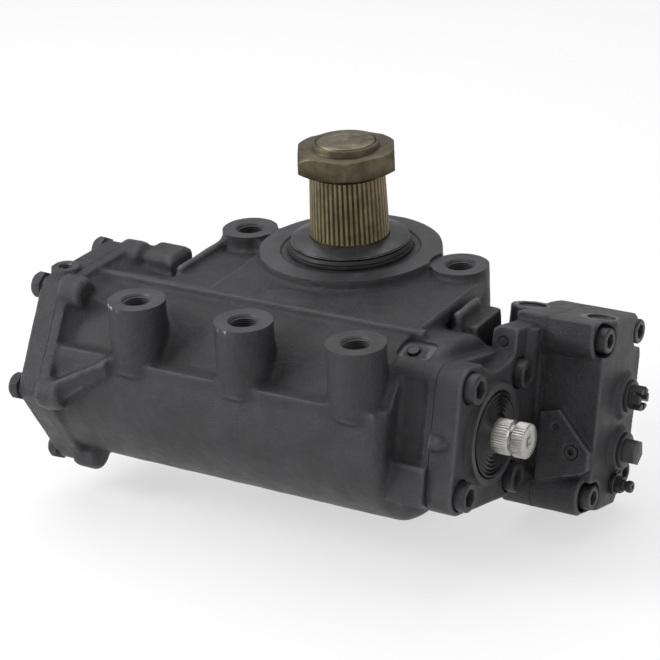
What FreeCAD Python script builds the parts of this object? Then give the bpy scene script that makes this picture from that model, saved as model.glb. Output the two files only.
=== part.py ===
import FreeCAD, Part
import math
import os
import re
import types

import Sketcher

# A hydraulic power steering gear of the recirculating ball kind, in millimetres.
# The origin is the middle of the four corner mounting holes, in the plane of the boss tops.
# X runs along the worm towards the input shaft, Z along the sector shaft towards the pitman arm.
# The valve end is turned about the worm axis; its pieces are placed by (x, side, rise), where
# side and rise are measured from the worm axis along the turned valve block.

SIZES = {
    # mounting bosses
    "mount_pitch_x": 180.0,
    "mount_pitch_y": 151.0,
    "mount_hole_r": 10.0,
    "mount_hole_depth": 34.0,
    "boss_r": 21.0,
    "boss_depth": 52.0,
    # sector shaft and worm axes
    "sector_x": 2.0,
    "sector_y": 69.3,
    "centre_distance": 93.0,
    "worm_depth": 76.1,
    # barrel of the housing
    "bore_r": 56.0,
    "barrel_wall": 16.5,
    "crown_wall": 8.5,
    "barrel_left": 164.0,
    "bore_end": 104.0,
    "barrel_right": 117.0,
    "barrel_round": 9.0,
    "neck_start": 110.0,
    "bulkhead_r": 20.0,
    "joint_x": 144.0,
    "neck_bore_r": 37.0,
    # front shelf and top deck of the housing
    "shelf_depth": 42.7,
    "shelf_height": 12.0,
    "shelf_reach": 68.3,
    "deck_depth": 5.7,
    "deck_edge": 7.0,
    "deck_thick": 12.0,
    "deck_rib": 6.0,
    "cast_pad_x": 1.0,
    "cast_pad_y": -14.0,
    "cast_pad_length": 36.0,
    "cast_pad_width": 16.0,
    # end flange and end cover
    "flange_af": 147.0,
    "flange_thick": 8.0,
    "flange_corner_r": 9.0,
    "flare_length": 40.0,
    "flare_end_r": 66.0,
    "spigot_length": 1.6,
    "cover_port_r": 11.0,
    "cover_port_x": 11.0,
    "cover_port_y": 21.0,
    "cover_port_hole_r": 4.6,
    "cover_thick": 17.0,
    "cover_bolt_circle": 75.5,
    "cover_bolt_r": 6.0,
    "cover_boss_r": 12.0,
    "cover_spot_r": 11.4,
    "cover_boss_length": 20.0,
    # sector chamber and bottom cover
    "chamber_r": 60.0,
    "chamber_wall": 8.0,
    "chamber_top": 47.0,
    "ring_face_rise": 2.0,
    "tower_bottom": 141.0,
    "foot_flange_out": 22.0,
    "foot_flange_thick": 12.0,
    "sector_cover_thick": 14.0,
    "sector_bolt_out": 13.0,
    "sector_bolt_r": 5.0,
    # sector shaft
    "sector_journal_r": 31.5,
    "sector_stub_r": 25.0,
    "sector_width": 50.0,
    "needle_wall": 6.5,
    "serration_start": 14.3,
    "serration_length": 46.4,
    "serration_big_r": 29.2,
    "serration_small_r": 27.6,
    "serration_depth": 1.6,
    "serration_teeth": 48,
    "nut_thread_r": 22.1,
    "nut_af": 70.0,
    "nut_height": 12.8,
    "nut_foot_r": 25.7,
    "nut_foot_height": 3.8,
    "nut_collar_r": 24.8,
    "nut_collar_height": 6.9,
    "sector_tip_rise": 84.5,
    "seal_bore_r": 51.5,
    "seal_bore_depth": 9.0,
    "dust_disc_r": 43.7,
    "dust_disc_rise": 10.3,
    # toothing
    "gear_module": 10.0,
    "sector_full_teeth": 10,
    "sector_side_degrees": 28.0,
    "pressure_angle": 25.0,
    "addendum_share": 0.8,
    "dedendum_share": 0.95,
    "tooth_backlash": 0.12,
    # piston, worm and balls
    "piston_clearance": 0.05,
    "piston_left": 122.0,
    "piston_right": 60.0,
    "worm_r": 16.4,
    "worm_bore_r": 17.0,
    "ball_circle_r": 17.5,
    "ball_r": 4.5,
    "groove_clearance": 0.1,
    "worm_lead": 16.0,
    "worm_left": 60.0,
    "circuit_turns": 1.5,
    "worm_neck_r": 18.0,
    "head_r": 33.0,
    "head_start": 116.0,
    "head_end": 146.0,
    # input shaft
    "input_r": 12.5,
    "rotor_r": 15.0,
    "input_end": 193.3,
    "torsion_bar_r": 3.5,
    "torsion_head_r": 5.0,
    "running_gap": 0.05,
    "side_gap": 0.3,
    # valve housing and valve block
    "valve_tilt": 14.73,
    "plate_half": 52.0,
    "plate_corner_r": 15.0,
    "plate_front": 163.0,
    "dip_r": 44.0,
    "dip_side": 2.5,
    "dip_depth": 8.0,
    "plate_screw_inset": 14.5,
    "plate_screw_r": 7.0,
    "hub_r": 36.0,
    "hub_front": 167.5,
    "seal_pocket_r": 31.0,
    "block_front": 69.5,
    "block_back": 136.0,
    "block_top": 76.0,
    "block_bottom": 62.0,
    "block_joint": 169.0,
    "gasket_thick": 0.6,
    "block_face": 212.0,
    "block_screw_side": 77.0,
    "block_screw_pitch_side": 54.0,
    "block_screw_rise": 63.0,
    "block_screw_drop": 51.0,
    "back_screw_drop": 42.0,
    "block_screw_r": 6.0,
    "block_screw_head_r": 9.0,
    "block_screw_seat": 200.0,
    "front_column_r": 16.0,
    "back_column_r": 12.5,
    "column_end": 205.5,
    "pocket_r": 11.5,
    "port_x": 143.0,
    "port_pitch": 54.0,
    "port_side": 92.5,
    "port_r": 10.2,
    "port_recess": 1.6,
    "port_plug_thick": 0.9,
    "port_seat_r": 9.5,
    "port_passage_r": 4.5,
    "port_passage_depth": 34.0,
    "limiter_side": 112.0,
    "limiter_rise": 19.0,
    "spool_side": 111.0,
    "spool_drop": 20.5,
    "spool_r": 9.0,
    "spool_rest": 15.7,
    "spool_shoulder": 29.0,
    "spool_plug_depth": 16.0,
    "relief_r": 7.5,
    "poppet_rest": 13.7,
    "poppet_shoulder": 17.0,
    "limiter_depth": 22.0,
    "valve_boss_rise": 5.0,
    "spring_gap": 0.3,
    # galleries closed by small plugs
    "gallery_x": 114.0,
    "gallery_lean": 14.8,
    "gallery_r": 4.0,
    "lug_side": 28.0,
    "lug_height": 18.5,
    "lug_hole_x": 8.6,
    "lug_hole_out": 6.9,
}

doc = FreeCAD.newDocument("steering_gear")
sheet = doc.addObject("Spreadsheet::Sheet", "Sizes")
for row, (name, number) in enumerate(SIZES.items(), start=1):
    sheet.set(f"A{row}", name)
    sheet.set(f"B{row}", str(number))
    sheet.setAlias(f"B{row}", name)
doc.recompute()
d = types.SimpleNamespace(**{name: float(sheet.get(name)) for name in SIZES})

WORM_Y = "(sector_y - centre_distance)"
WORM_Z = "(-worm_depth)"
worm_y = d.sector_y - d.centre_distance
worm_z = -d.worm_depth
tilt = math.radians(d.valve_tilt)

pieces = []


def rule(text):
    """An expression of the document from a rule written in the names of the sheet."""
    return re.sub(r"[a-z][a-z0-9_]*", lambda word: "Sizes." + word.group()
                  if word.group() in SIZES else word.group(), text)


def bind(item, **rules):
    """Ties properties of an object to the sheet; two underscores stand for a dot."""
    for name, text in rules.items():
        item.setExpression(name.replace("__", "."), rule(text))


def place(item, at, turn=None):
    """Puts an object at a point given by three rules, with a turn (axis, degrees)."""
    if turn is not None:
        item.Placement = FreeCAD.Placement(FreeCAD.Vector(), FreeCAD.Rotation(*turn))
    bind(item, Placement__Base__x=at[0], Placement__Base__y=at[1], Placement__Base__z=at[2])


ALONG_X = (FreeCAD.Vector(0, 1, 0), 90.0)
ALONG_Y = (FreeCAD.Vector(1, 0, 0), -90.0)


def valve_point(x, side, rise):
    """Rules for a point of the turned valve end."""
    y = f"{WORM_Y} + ({side}) * cos(valve_tilt) + ({rise}) * sin(valve_tilt)"
    z = f"{WORM_Z} - ({side}) * sin(valve_tilt) + ({rise}) * cos(valve_tilt)"
    return x, y, z


def valve_vector(x, side, rise):
    """The same point as a vector, for shapes made by calculation."""
    return FreeCAD.Vector(x, worm_y + side * math.cos(tilt) + rise * math.sin(tilt),
                          worm_z - side * math.sin(tilt) + rise * math.cos(tilt))


def cylinder(radius, length, at, turn=None):
    item = doc.addObject("Part::Cylinder", "Cylinder")
    bind(item, Radius=radius, Height=length)
    place(item, at, turn)
    return item


def cone(radius_1, radius_2, length, at, turn=None):
    item = doc.addObject("Part::Cone", "Cone")
    bind(item, Radius1=radius_1, Radius2=radius_2, Height=length)
    place(item, at, turn)
    return item


def box(length, width, height, at):
    item = doc.addObject("Part::Box", "Box")
    bind(item, Length=length, Width=width, Height=height)
    place(item, at)
    return item


def fuse(*items):
    item = doc.addObject("Part::MultiFuse", "Fusion")
    item.Shapes = list(items)
    item.Refine = False
    return item


def held(*items):
    """A group whose members keep their own places inside it."""
    item = doc.addObject("Part::Compound", "Group")
    item.Links = list(items)
    return item


def cut(base, *tools):
    item = doc.addObject("Part::Cut", "Cut")
    item.Base = base
    item.Tool = tools[0] if len(tools) == 1 else fuse(*tools)
    item.Refine = False
    return item


def common(first, second):
    item = doc.addObject("Part::Common", "Common")
    item.Base = first
    item.Tool = second
    return item


def about_worm(item, lean):
    """Carries an object that was built about the X axis to the worm axis, leaning by an angle."""
    item.Placement = FreeCAD.Placement(FreeCAD.Vector(), FreeCAD.Rotation(0, 0, 0))
    bind(item, Placement__Rotation__Angle=lean, Placement__Base__y=WORM_Y, Placement__Base__z=WORM_Z)
    item.Placement.Rotation.Axis = FreeCAD.Vector(1, 0, 0)
    return item


def valve_frame(item):
    """Puts an object that was built in (x, side, rise) into the valve end's place."""
    return about_worm(item, "-valve_tilt")


def outline(sketch, corners):
    """Draws a closed outline whose corners are given by pairs of rules."""
    count = len(corners)
    start = [FreeCAD.Vector(math.cos(2 * math.pi * i / count), math.sin(2 * math.pi * i / count), 0)
             for i in range(count)]
    for i in range(count):
        sketch.addGeometry(Part.LineSegment(start[i], start[(i + 1) % count]), False)
    for i in range(count):
        sketch.addConstraint(Sketcher.Constraint("Coincident", i, 2, (i + 1) % count, 1))
    for i, (across, up) in enumerate(corners):
        for kind, text in (("DistanceX", across), ("DistanceY", up)):
            index = sketch.addConstraint(Sketcher.Constraint(kind, i, 1, 1.0))
            sketch.setExpression(f"Constraints[{index}]", rule(text))


def new_body(label):
    body = doc.addObject("PartDesign::Body", label)
    body.Label = label
    return body


def sketch_on(body, role):
    sketch = body.newObject("Sketcher::SketchObject", body.Name + "_outline")
    plane = [f for f in body.Origin.OriginFeatures if f.Role == role][0]
    sketch.AttachmentSupport = [(plane, "")]
    sketch.MapMode = "FlatFace"
    return sketch


def turned(label, corners, at=("0", "0", "0"), turn=None):
    """A lathe-turned piece from a half section of (radius, height) corners."""
    body = new_body(label)
    sketch = sketch_on(body, "XZ_Plane")
    outline(sketch, corners)
    revolution = body.newObject("PartDesign::Revolution", label + "_turning")
    revolution.Profile = sketch
    revolution.ReferenceAxis = (sketch, ["V_Axis"])
    revolution.Angle = 360.0
    place(body, at, turn)
    return body


def extruded(label, corners, length, at=("0", "0", "0"), turn=None):
    """A straight prism from an outline in its own XY plane."""
    body = new_body(label)
    sketch = sketch_on(body, "XY_Plane")
    outline(sketch, corners)
    pad = body.newObject("PartDesign::Pad", label + "_pad")
    pad.Profile = sketch
    bind(pad, Length=length)
    place(body, at, turn)
    return body


def feature(label, shape):
    item = doc.addObject("Part::Feature", label)
    item.Shape = shape
    return item


def piece(label, item):
    """Names an object as one of the real pieces."""
    item.Label = label
    pieces.append(item)
    return item


def rounded(item, radius, choose):
    """Rounds the edges of an object that the test picks."""
    doc.recompute()
    picked = [i for i, edge in enumerate(item.Shape.Edges, start=1) if choose(edge)]
    item_round = doc.addObject("Part::Fillet", "Fillet")
    item_round.Base = item
    item_round.Edges = [(i, radius, radius) for i in picked]
    return item_round


def chamfered(item, size, choose):
    doc.recompute()
    picked = [i for i, edge in enumerate(item.Shape.Edges, start=1) if choose(edge)]
    item_chamfer = doc.addObject("Part::Chamfer", "Chamfer")
    item_chamfer.Base = item
    item_chamfer.Edges = [(i, size, size) for i in picked]
    return item_chamfer


def copies(label, master, placements):
    """Identical fasteners, set out from one master."""
    doc.recompute()
    shapes = []
    for placement in placements:
        shape = master.Shape.copy()
        shape.Placement = placement.multiply(shape.Placement)
        shapes.append(shape)
    return piece(label, feature(label, Part.makeCompound(shapes)))


def ring_edge(edge, radius, tolerance=0.01):
    return isinstance(edge.Curve, Part.Circle) and abs(edge.Curve.Radius - radius) < tolerance


def prism(across_flats, length, at, turn=None):
    """A hexagonal prism, such as a bolt head or a key socket."""
    item = doc.addObject("Part::Prism", "Prism")
    item.Polygon = 6
    bind(item, Circumradius=f"({across_flats}) / 2 / cos(30)", Height=length)
    place(item, at, turn)
    return item


def socket_screw(head_r, head_height, shank_r, shank_length, key):
    """A cap screw that points down Z, with the seat of its head at the origin."""
    head = cylinder(head_r, head_height, ("0", "0", "0"))
    shank = cylinder(shank_r, f"{shank_length} + 1", ("0", "0", f"-({shank_length})"))
    socket = prism(key, head_height, ("0", "0", f"{head_height} * 0.45"))
    return chamfered(cut(fuse(head, shank), socket), 0.8, lambda edge: ring_edge(edge, head.Radius.Value)
                     and edge.CenterOfMass.z > 1)


def hex_screw(across_flats, head_height, shank_r, shank_length):
    """A hexagon screw that points down Z, with a washer face under its head."""
    head = prism(across_flats, head_height, ("0", "0", "0"))
    crown = cone(f"({across_flats}) * 0.72", f"({across_flats}) * 0.46", head_height, ("0", "0", "0"))
    shank = cylinder(shank_r, f"{shank_length} + 1", ("0", "0", f"-({shank_length})"))
    return fuse(common(head, crown), shank)


def turn_to(direction):
    return FreeCAD.Rotation(FreeCAD.Vector(0, 0, 1), direction)


TO_RIGHT = turn_to(FreeCAD.Vector(1, 0, 0))
TO_LEFT = turn_to(FreeCAD.Vector(-1, 0, 0))
TO_FLOOR = turn_to(FreeCAD.Vector(0, 0, -1))


def around(centre, radius, count, first_degrees, axis):
    """Points evenly spaced on a circle about an axis through a centre."""
    if axis == "x":
        arm, across = FreeCAD.Vector(0, 1, 0), FreeCAD.Vector(0, 0, 1)
    else:
        arm, across = FreeCAD.Vector(1, 0, 0), FreeCAD.Vector(0, 1, 0)
    points = []
    for i in range(count):
        angle = math.radians(first_degrees + 360.0 * i / count)
        points.append(centre + arm * (radius * math.cos(angle)) + across * (radius * math.sin(angle)))
    return points


# Housing: one iron casting with the barrel, the sector chamber and the mounting bosses
MOUNT_CORNERS = [(f"{i} * mount_pitch_x / 2", f"{k} * mount_pitch_y / 2") for i in (-1, 1) for k in (-1, 1)]
FRONT_MIDDLE = ("0", "-mount_pitch_y / 2")
BARREL_R = "(bore_r + barrel_wall)"
CROWN_R = "(bore_r + crown_wall)"
TOWER_R = "(chamber_r + chamber_wall)"
FOOT_R = "(chamber_r + foot_flange_out)"
FLANGE_CORNER = "(flange_af / 2 / cos(30))"
COVER_BOLTS = around(FreeCAD.Vector(-d.barrel_left, worm_y, worm_z), d.cover_bolt_circle, 6, 0.0, "x")


def barrel():
    """The big tube, thinner over its crown, with the shelf that carries the front bosses."""
    thick = cylinder(BARREL_R, "barrel_left + barrel_right", ("-barrel_left", WORM_Y, WORM_Z), ALONG_X)
    thick = rounded(thick, d.barrel_round, lambda edge: edge.CenterOfMass.x > 0
                    and ring_edge(edge, d.bore_r + d.barrel_wall))
    above_shelf = box("barrel_left + joint_x", f"3 * {BARREL_R}", BARREL_R,
                      ("-barrel_left", f"{WORM_Y} - 1.5 * {BARREL_R}", "-shelf_depth"))
    crown = cylinder(CROWN_R, "barrel_left + barrel_right", ("-barrel_left", WORM_Y, WORM_Z), ALONG_X)
    shelf = box("mount_pitch_x + 2 * boss_r", "shelf_reach", "shelf_height",
                ("-(mount_pitch_x / 2 + boss_r)", f"{WORM_Y} - shelf_reach", "-(shelf_depth + shelf_height)"))
    return fuse(cut(thick, above_shelf), crown, shelf)


def deck():
    """The web between the front edge, the sector tower and the valve neck."""
    front = f"{WORM_Y} - deck_edge"
    rib = box("barrel_left + barrel_right", "deck_rib", "deck_thick + 8",
              ("-barrel_left", front, "-(deck_depth + deck_thick + 8)"))
    web = extruded("deck_web", [(f"-({TOWER_R} - sector_x - 4)", front), ("barrel_right - 4", front),
                                ("mount_pitch_x / 2 + boss_r", "sector_y"), (f"-({TOWER_R} - sector_x)", "sector_y")],
                   "deck_thick", ("0", "0", "-(deck_depth + deck_thick)"))
    dish = extruded("left_dish", [("-(mount_pitch_x / 2 + 18)", front), ("-50", front), ("-50", "mount_pitch_y / 2"),
                                  ("-(mount_pitch_x / 2 + 14)", "mount_pitch_y / 2")],
                    "deck_thick", ("0", "0", "-(2 * deck_thick)"))
    side_rib = box("6", "mount_pitch_y / 2", "16", ("-(mount_pitch_x / 2 + 18)", "0", "-22"))
    lug = box("30", "30", "26", ("-147", "7", "-30"))
    step = box("14", "24", "22", ("-157", "10", "-30"))
    return fuse(rib, web, dish, side_rib, step, chamfered(lug, 4.0, lambda edge: edge.CenterOfMass.z > -5), rear_rib(),
                cast_pad())


def rear_rib():
    """The two walls on the shoulder that run forward from the rear right boss to the neck."""
    edge = "mount_pitch_x / 2"
    long_wall = extruded("rear_rib", [(f"{edge} + 15", "mount_pitch_y / 2"), (f"{edge} + 15", "4"),
                                      (f"{edge} + 21", "2"), (f"{edge} + 20", "mount_pitch_y / 2")], "26",
                         ("0", "0", "-32"))
    short_wall = box("5", "34", "24", (f"{edge} + 27", "12", "-32"))
    return fuse(long_wall, short_wall)


def cast_pad():
    """The low oval pad on the deck, in front of the sector tower."""
    pad = box("cast_pad_length", "cast_pad_width", "4", ("cast_pad_x - cast_pad_length / 2",
                                                        "cast_pad_y - cast_pad_width / 2", "-deck_depth - 2.5"))
    return rounded(pad, d.cast_pad_width / 2 - 0.1, lambda edge: abs(edge.Vertexes[0].Z - edge.Vertexes[-1].Z) > 1)


def mount_bosses():
    bosses = [cylinder("boss_r", "boss_depth", (x, y, "-boss_depth"))
              for x, y in MOUNT_CORNERS + [FRONT_MIDDLE]]
    bar = box("mount_pitch_x", "1.5 * boss_r", "boss_depth - 12",
              ("-mount_pitch_x / 2", "mount_pitch_y / 2 - 0.75 * boss_r", "-boss_depth + 8"))
    return fuse(bar, *bosses)


def tower():
    """The upright chamber of the sector, with a machined ring on top and a flange below."""
    wall = cylinder(TOWER_R, "tower_bottom + ring_face_rise", ("sector_x", "sector_y", "-tower_bottom"))
    foot = cylinder(FOOT_R, "foot_flange_thick", ("sector_x", "sector_y", "-tower_bottom"))
    return fuse(wall, foot)


def hexagon(thickness, x):
    """The hexagonal joint of the end cover, flat side up, with rounded corners."""
    plate = prism("flange_af", thickness, (x, WORM_Y, WORM_Z), ALONG_X)
    plate.Placement = FreeCAD.Placement(plate.Placement.Base, FreeCAD.Rotation(FreeCAD.Vector(0, 1, 0), 90)
                                        .multiply(FreeCAD.Rotation(FreeCAD.Vector(0, 0, 1), 30)))
    return rounded(plate, d.flange_corner_r, lambda edge: abs(edge.Vertexes[0].X - edge.Vertexes[-1].X) > 1)


def flare():
    """The six-sided skirt that carries the end flange down to the barrel."""
    def ring_of(radius, x):
        corners = [FreeCAD.Vector(x, worm_y + radius * math.cos(math.radians(60 * i)),
                                  worm_z + radius * math.sin(math.radians(60 * i))) for i in range(6)]
        return Part.makePolygon(corners + [corners[0]])
    start = -d.barrel_left + d.flange_thick - 1
    corner = d.flange_af / 2 / math.cos(math.radians(30)) - d.flange_corner_r / 3
    middle = (corner + 2 * d.flare_end_r) / 3
    wires = [ring_of(corner, start), ring_of(middle, start + d.flare_length * 0.35),
             ring_of(d.flare_end_r, start + d.flare_length)]
    return feature("flare", Part.makeLoft(wires, True, True))


def slanted_rib():
    """The rib on the barrel from the front corner of the end flange up to the shelf."""
    def section(x, back, reach, low, high):
        corners = [FreeCAD.Vector(x, worm_y - reach, low), FreeCAD.Vector(x, worm_y - reach, high),
                   FreeCAD.Vector(x, worm_y - back, high), FreeCAD.Vector(x, worm_y - back, low)]
        return Part.makePolygon(corners + [corners[0]])
    low_end = section(-d.barrel_left + d.flange_thick - 1, 66, 82.5, -88, -68)
    high_end = section(-d.mount_pitch_x / 2 - 18, 56, 72, -d.shelf_depth - d.shelf_height, -d.shelf_depth)
    return feature("slanted_rib", Part.makeLoft([low_end, high_end], True, True))


def end_flange():
    plate = hexagon("flange_thick", "-barrel_left")
    bosses = [cylinder("cover_boss_r", "cover_boss_length", ("-barrel_left", str(p.y), str(p.z)), ALONG_X)
              for p in COVER_BOLTS]
    bosses = [rounded(boss, 5.0, lambda edge: ring_edge(edge, d.cover_boss_r)
                      and edge.CenterOfMass.x > -d.barrel_left + 1) for boss in bosses]
    return fuse(plate, *bosses)


def square_plate(start, length):
    """The square joint of the valve housing, with corners rounded about its screws."""
    plate = doc.addObject("Part::Box", "Plate")
    bind(plate, Length=length, Width="2 * plate_half", Height="2 * plate_half")
    place(plate, (start, "-plate_half", "-plate_half"))
    return rounded(plate, d.plate_corner_r, lambda edge: abs(edge.Vertexes[0].X - edge.Vertexes[-1].X) > 1)


def valve_flange():
    """The right end of the casting: the square joint face, a hollow in its front side and a shoulder."""
    plate = square_plate("barrel_right - 8", "joint_x - barrel_right + 8")
    hollow = box("joint_x - barrel_right + 2", "5.5", "59", ("barrel_right", "-plate_half - 3", "-18"))
    step = box("joint_x - barrel_right", "10", "28", ("barrel_right", "-plate_half - 4", "-47"))
    crown = cylinder(CROWN_R, "joint_x - barrel_right + 20", ("barrel_right - 24", "0", "0"), ALONG_X)
    crown = rounded(crown, 7.0, lambda edge: edge.CenterOfMass.x > d.barrel_right)
    above = box("60", "90", "40", ("barrel_right - 30", "-42", "40"))
    return valve_frame(fuse(cut(fuse(plate, common(crown, above)), hollow), step))


def gallery_pocket():
    """The flat-bottomed pocket in the neck's crown that holds a gallery plug."""
    pocket = rounded(box("26", "20", "16", ("gallery_x - 10", "-10", f"{CROWN_R} - 3")), 5.0,
                     lambda edge: abs(edge.Vertexes[0].Z - edge.Vertexes[-1].Z) > 1)
    return about_worm(pocket, "gallery_lean")


def gallery_bore():
    return about_worm(held(cylinder("gallery_r", "20", ("gallery_x", "0", f"{CROWN_R} - 9"))), "gallery_lean")


def shoulder():
    return box("40", "40", "40", ("91", "20", "-60"))


def housing_hollows():
    """Every bore, chamber and threaded hole of the casting."""
    tools = [
        cylinder("bore_r", "barrel_left + bore_end + 1", ("-barrel_left - 1", WORM_Y, WORM_Z), ALONG_X),
        cylinder("bulkhead_r", "neck_start - bore_end + 2", ("bore_end - 1", WORM_Y, WORM_Z), ALONG_X),
        cylinder("neck_bore_r", "joint_x - neck_start + 1", ("neck_start", WORM_Y, WORM_Z), ALONG_X),
        gallery_pocket(), gallery_bore(),
        cylinder("chamber_r", "tower_bottom - chamber_top + 1", ("sector_x", "sector_y", "-tower_bottom - 1")),
        cylinder("sector_journal_r + needle_wall", "chamber_top + 1",
                 ("sector_x", "sector_y", "-chamber_top - 1")),
        cylinder("sector_journal_r + running_gap", "chamber_top + 10", ("sector_x", "sector_y", "-chamber_top")),
        cylinder("seal_bore_r", "seal_bore_depth + 1",
                 ("sector_x", "sector_y", "ring_face_rise - seal_bore_depth")),
    ]
    tools += [cylinder("mount_hole_r", "mount_hole_depth + 1", (x, y, "-mount_hole_depth"))
              for x, y in MOUNT_CORNERS + [FRONT_MIDDLE]]
    tools += [cylinder("cover_bolt_r + 0.2", "cover_boss_length - 4", ("-barrel_left - 1", str(p.y), str(p.z)),
                       ALONG_X) for p in COVER_BOLTS]
    tools += [cylinder("sector_bolt_r + 0.2", "foot_flange_thick - 0.5", (str(p.x), str(p.y), "-tower_bottom - 1"))
              for p in SECTOR_BOLTS]
    tools += [cylinder("plate_screw_r + 0.2", "26", ("joint_x - 25",) + valve_point("0", side, rise)[1:], ALONG_X)
              for side, rise in PLATE_SCREWS]
    return tools


SECTOR_BOLTS = around(FreeCAD.Vector(d.sector_x, d.sector_y, -d.tower_bottom), d.chamber_r + d.sector_bolt_out, 6, 0.0,
                      "z")
PLATE_SCREW = "(plate_half - plate_screw_inset)"
PLATE_SCREWS = [(f"{i} * {PLATE_SCREW}", f"{k} * {PLATE_SCREW}") for i in (-1, 1) for k in (-1, 1)]


def housing():
    solid = fuse(barrel(), deck(), mount_bosses(), tower(), flare(), slanted_rib(), end_flange(), valve_flange(),
                 shoulder())
    under_cover = cylinder(f"{FOOT_R} + 1", "60", ("sector_x", "sector_y", "-tower_bottom - 60"))
    return piece("housing", cut(solid, under_cover, *housing_hollows()))


def seal_groove(inner_r, at, turn=None):
    """The groove, 2.2 deep and 3 wide, that holds an O-ring under a cover."""
    return turned("seal_groove", [(inner_r, "0"), (f"{inner_r} + 3", "0"), (f"{inner_r} + 3", "3"), (inner_r, "3")],
                  at, turn)


def seal_ring(label, inner_r, at, turn=None):
    """An O-ring, pressed flat by its cover."""
    edge, middle = f"({inner_r} + 0.1)", f"({inner_r} + 1.5)"
    return piece(label, turned(label, [
        (edge, "0.7"), (f"{middle} - 0.7", "0"), (f"{middle} + 0.7", "0"), (f"{edge} + 2.8", "0.7"),
        (f"{edge} + 2.8", "1.5"), (f"{middle} + 0.7", "2.2"), (f"{middle} - 0.7", "2.2"), (edge, "1.5")], at, turn))


# End cover: closes the barrel, held by six hexagon screws
COVER_PORT = ("-barrel_left - cover_port_x", f"{WORM_Y} - cover_port_y")


def end_cover():
    plate = hexagon("cover_thick", "-barrel_left - cover_thick")
    spigot = cylinder("bore_r - 0.1", "spigot_length + 0.5", ("-barrel_left - 0.5", WORM_Y, WORM_Z), ALONG_X)
    port_boss = cylinder("cover_port_r", "34", COVER_PORT + ("-34",))
    joint_side = box("30", "60", "60", ("-barrel_left", f"{WORM_Y} - cover_port_y - 30", "-50"))
    outer_x = "-barrel_left - cover_thick"
    holes = []
    for p in COVER_BOLTS:
        centre = (str(p.y), str(p.z))
        holes.append(cylinder("cover_bolt_r + 0.3", "cover_thick + 2", (f"{outer_x} - 1", *centre), ALONG_X))
        holes.append(cylinder("cover_spot_r", "20", (f"{outer_x} - 20", *centre), ALONG_X))
    socket = cylinder("cover_port_hole_r", "13", COVER_PORT + ("-12",))
    seat = seal_groove("bore_r + 0.6", ("-barrel_left - 2.2", WORM_Y, WORM_Z), ALONG_X)
    seal_ring("end_cover_seal", "bore_r + 0.6", ("-barrel_left - 2.2", WORM_Y, WORM_Z), ALONG_X)
    outside = fuse(plate, cut(port_boss, joint_side), spigot)
    return piece("end_cover", cut(outside, socket, seat, *holes))


def end_cover_screws():
    master = hex_screw("19", "8", "cover_bolt_r", "cover_thick + cover_boss_length - 6")
    placements = [FreeCAD.Placement(FreeCAD.Vector(-d.barrel_left - d.cover_thick, p.y, p.z), TO_LEFT)
                  for p in COVER_BOLTS]
    return copies("end_cover_screws", master, placements)


# Bottom cover of the sector chamber, with the screw that sets the tooth mesh
def sector_cover():
    x, y = "sector_x", "sector_y"
    base = "-tower_bottom"
    plate = cylinder(FOOT_R, "sector_cover_thick", (x, y, f"{base} - sector_cover_thick"))
    spigot = cylinder("chamber_r - 0.1", "5", (x, y, f"{base} - 0.5"))
    boss = cone("34", "40", "8", (x, y, f"{base} - sector_cover_thick - 8"))
    bearing_bore = cylinder("sector_stub_r + needle_wall", "24", (x, y, f"{base} - 13"))
    thread = cylinder("8.2", "40", (x, y, f"{base} - 30"))
    holes = [cylinder("sector_bolt_r + 0.3", "sector_cover_thick + 2",
                      (str(p.x), str(p.y), f"{base} - sector_cover_thick - 1")) for p in SECTOR_BOLTS]
    seat = seal_groove("chamber_r + 1", (x, y, f"{base} - 2.2"))
    seal_ring("sector_cover_seal", "chamber_r + 1", (x, y, f"{base} - 2.2"))
    return piece("sector_cover", cut(fuse(plate, spigot, boss), bearing_bore, thread, seat, *holes))


def sector_cover_screws():
    master = hex_screw("17", "7", "sector_bolt_r", "sector_cover_thick + foot_flange_thick - 3")
    placements = [FreeCAD.Placement(FreeCAD.Vector(p.x, p.y, -d.tower_bottom - d.sector_cover_thick), TO_FLOOR)
                  for p in SECTOR_BOLTS]
    return copies("sector_cover_screws", master, placements)


# Sector shaft: journals, three teeth of a ten-tooth wheel, and a tapered serration
def involute_tooth(centre_degrees):
    """One tooth of the sector, from inside its root circle to its tip."""
    pitch_r = d.gear_module * d.sector_full_teeth / 2
    base_r = pitch_r * math.cos(math.radians(d.pressure_angle))
    tip_r = pitch_r + d.addendum_share * d.gear_module
    root_r = pitch_r - d.dedendum_share * d.gear_module - 3
    half_angle = (math.pi * d.gear_module / 2 - d.tooth_backlash) / 2 / pitch_r
    slope = math.radians(d.pressure_angle)
    flank = []
    for i in range(5):
        radius = base_r + (tip_r - base_r) * i / 4
        roll = math.acos(base_r / radius)
        angle = half_angle + (math.tan(slope) - slope) - (math.tan(roll) - roll)
        flank.append((radius, angle))
    middle = math.radians(centre_degrees)
    left = [polar(radius, middle - angle) for radius, angle in flank]
    right = [polar(radius, middle + angle) for radius, angle in reversed(flank)]
    foot_left = polar(root_r, middle - flank[0][1])
    foot_right = polar(root_r, middle + flank[0][1])
    edges = [Part.LineSegment(foot_left, left[0]).toShape(), curve(left),
             Part.Arc(left[-1], polar(tip_r, middle), right[0]).toShape(), curve(right),
             Part.LineSegment(right[-1], foot_right).toShape(), Part.LineSegment(foot_right, foot_left).toShape()]
    return Part.Face(Part.Wire(edges))


def polar(radius, angle):
    return FreeCAD.Vector(radius * math.cos(angle), radius * math.sin(angle), 0)


def curve(points):
    line = Part.BSplineCurve()
    line.interpolate(points)
    return line.toShape()


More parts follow.
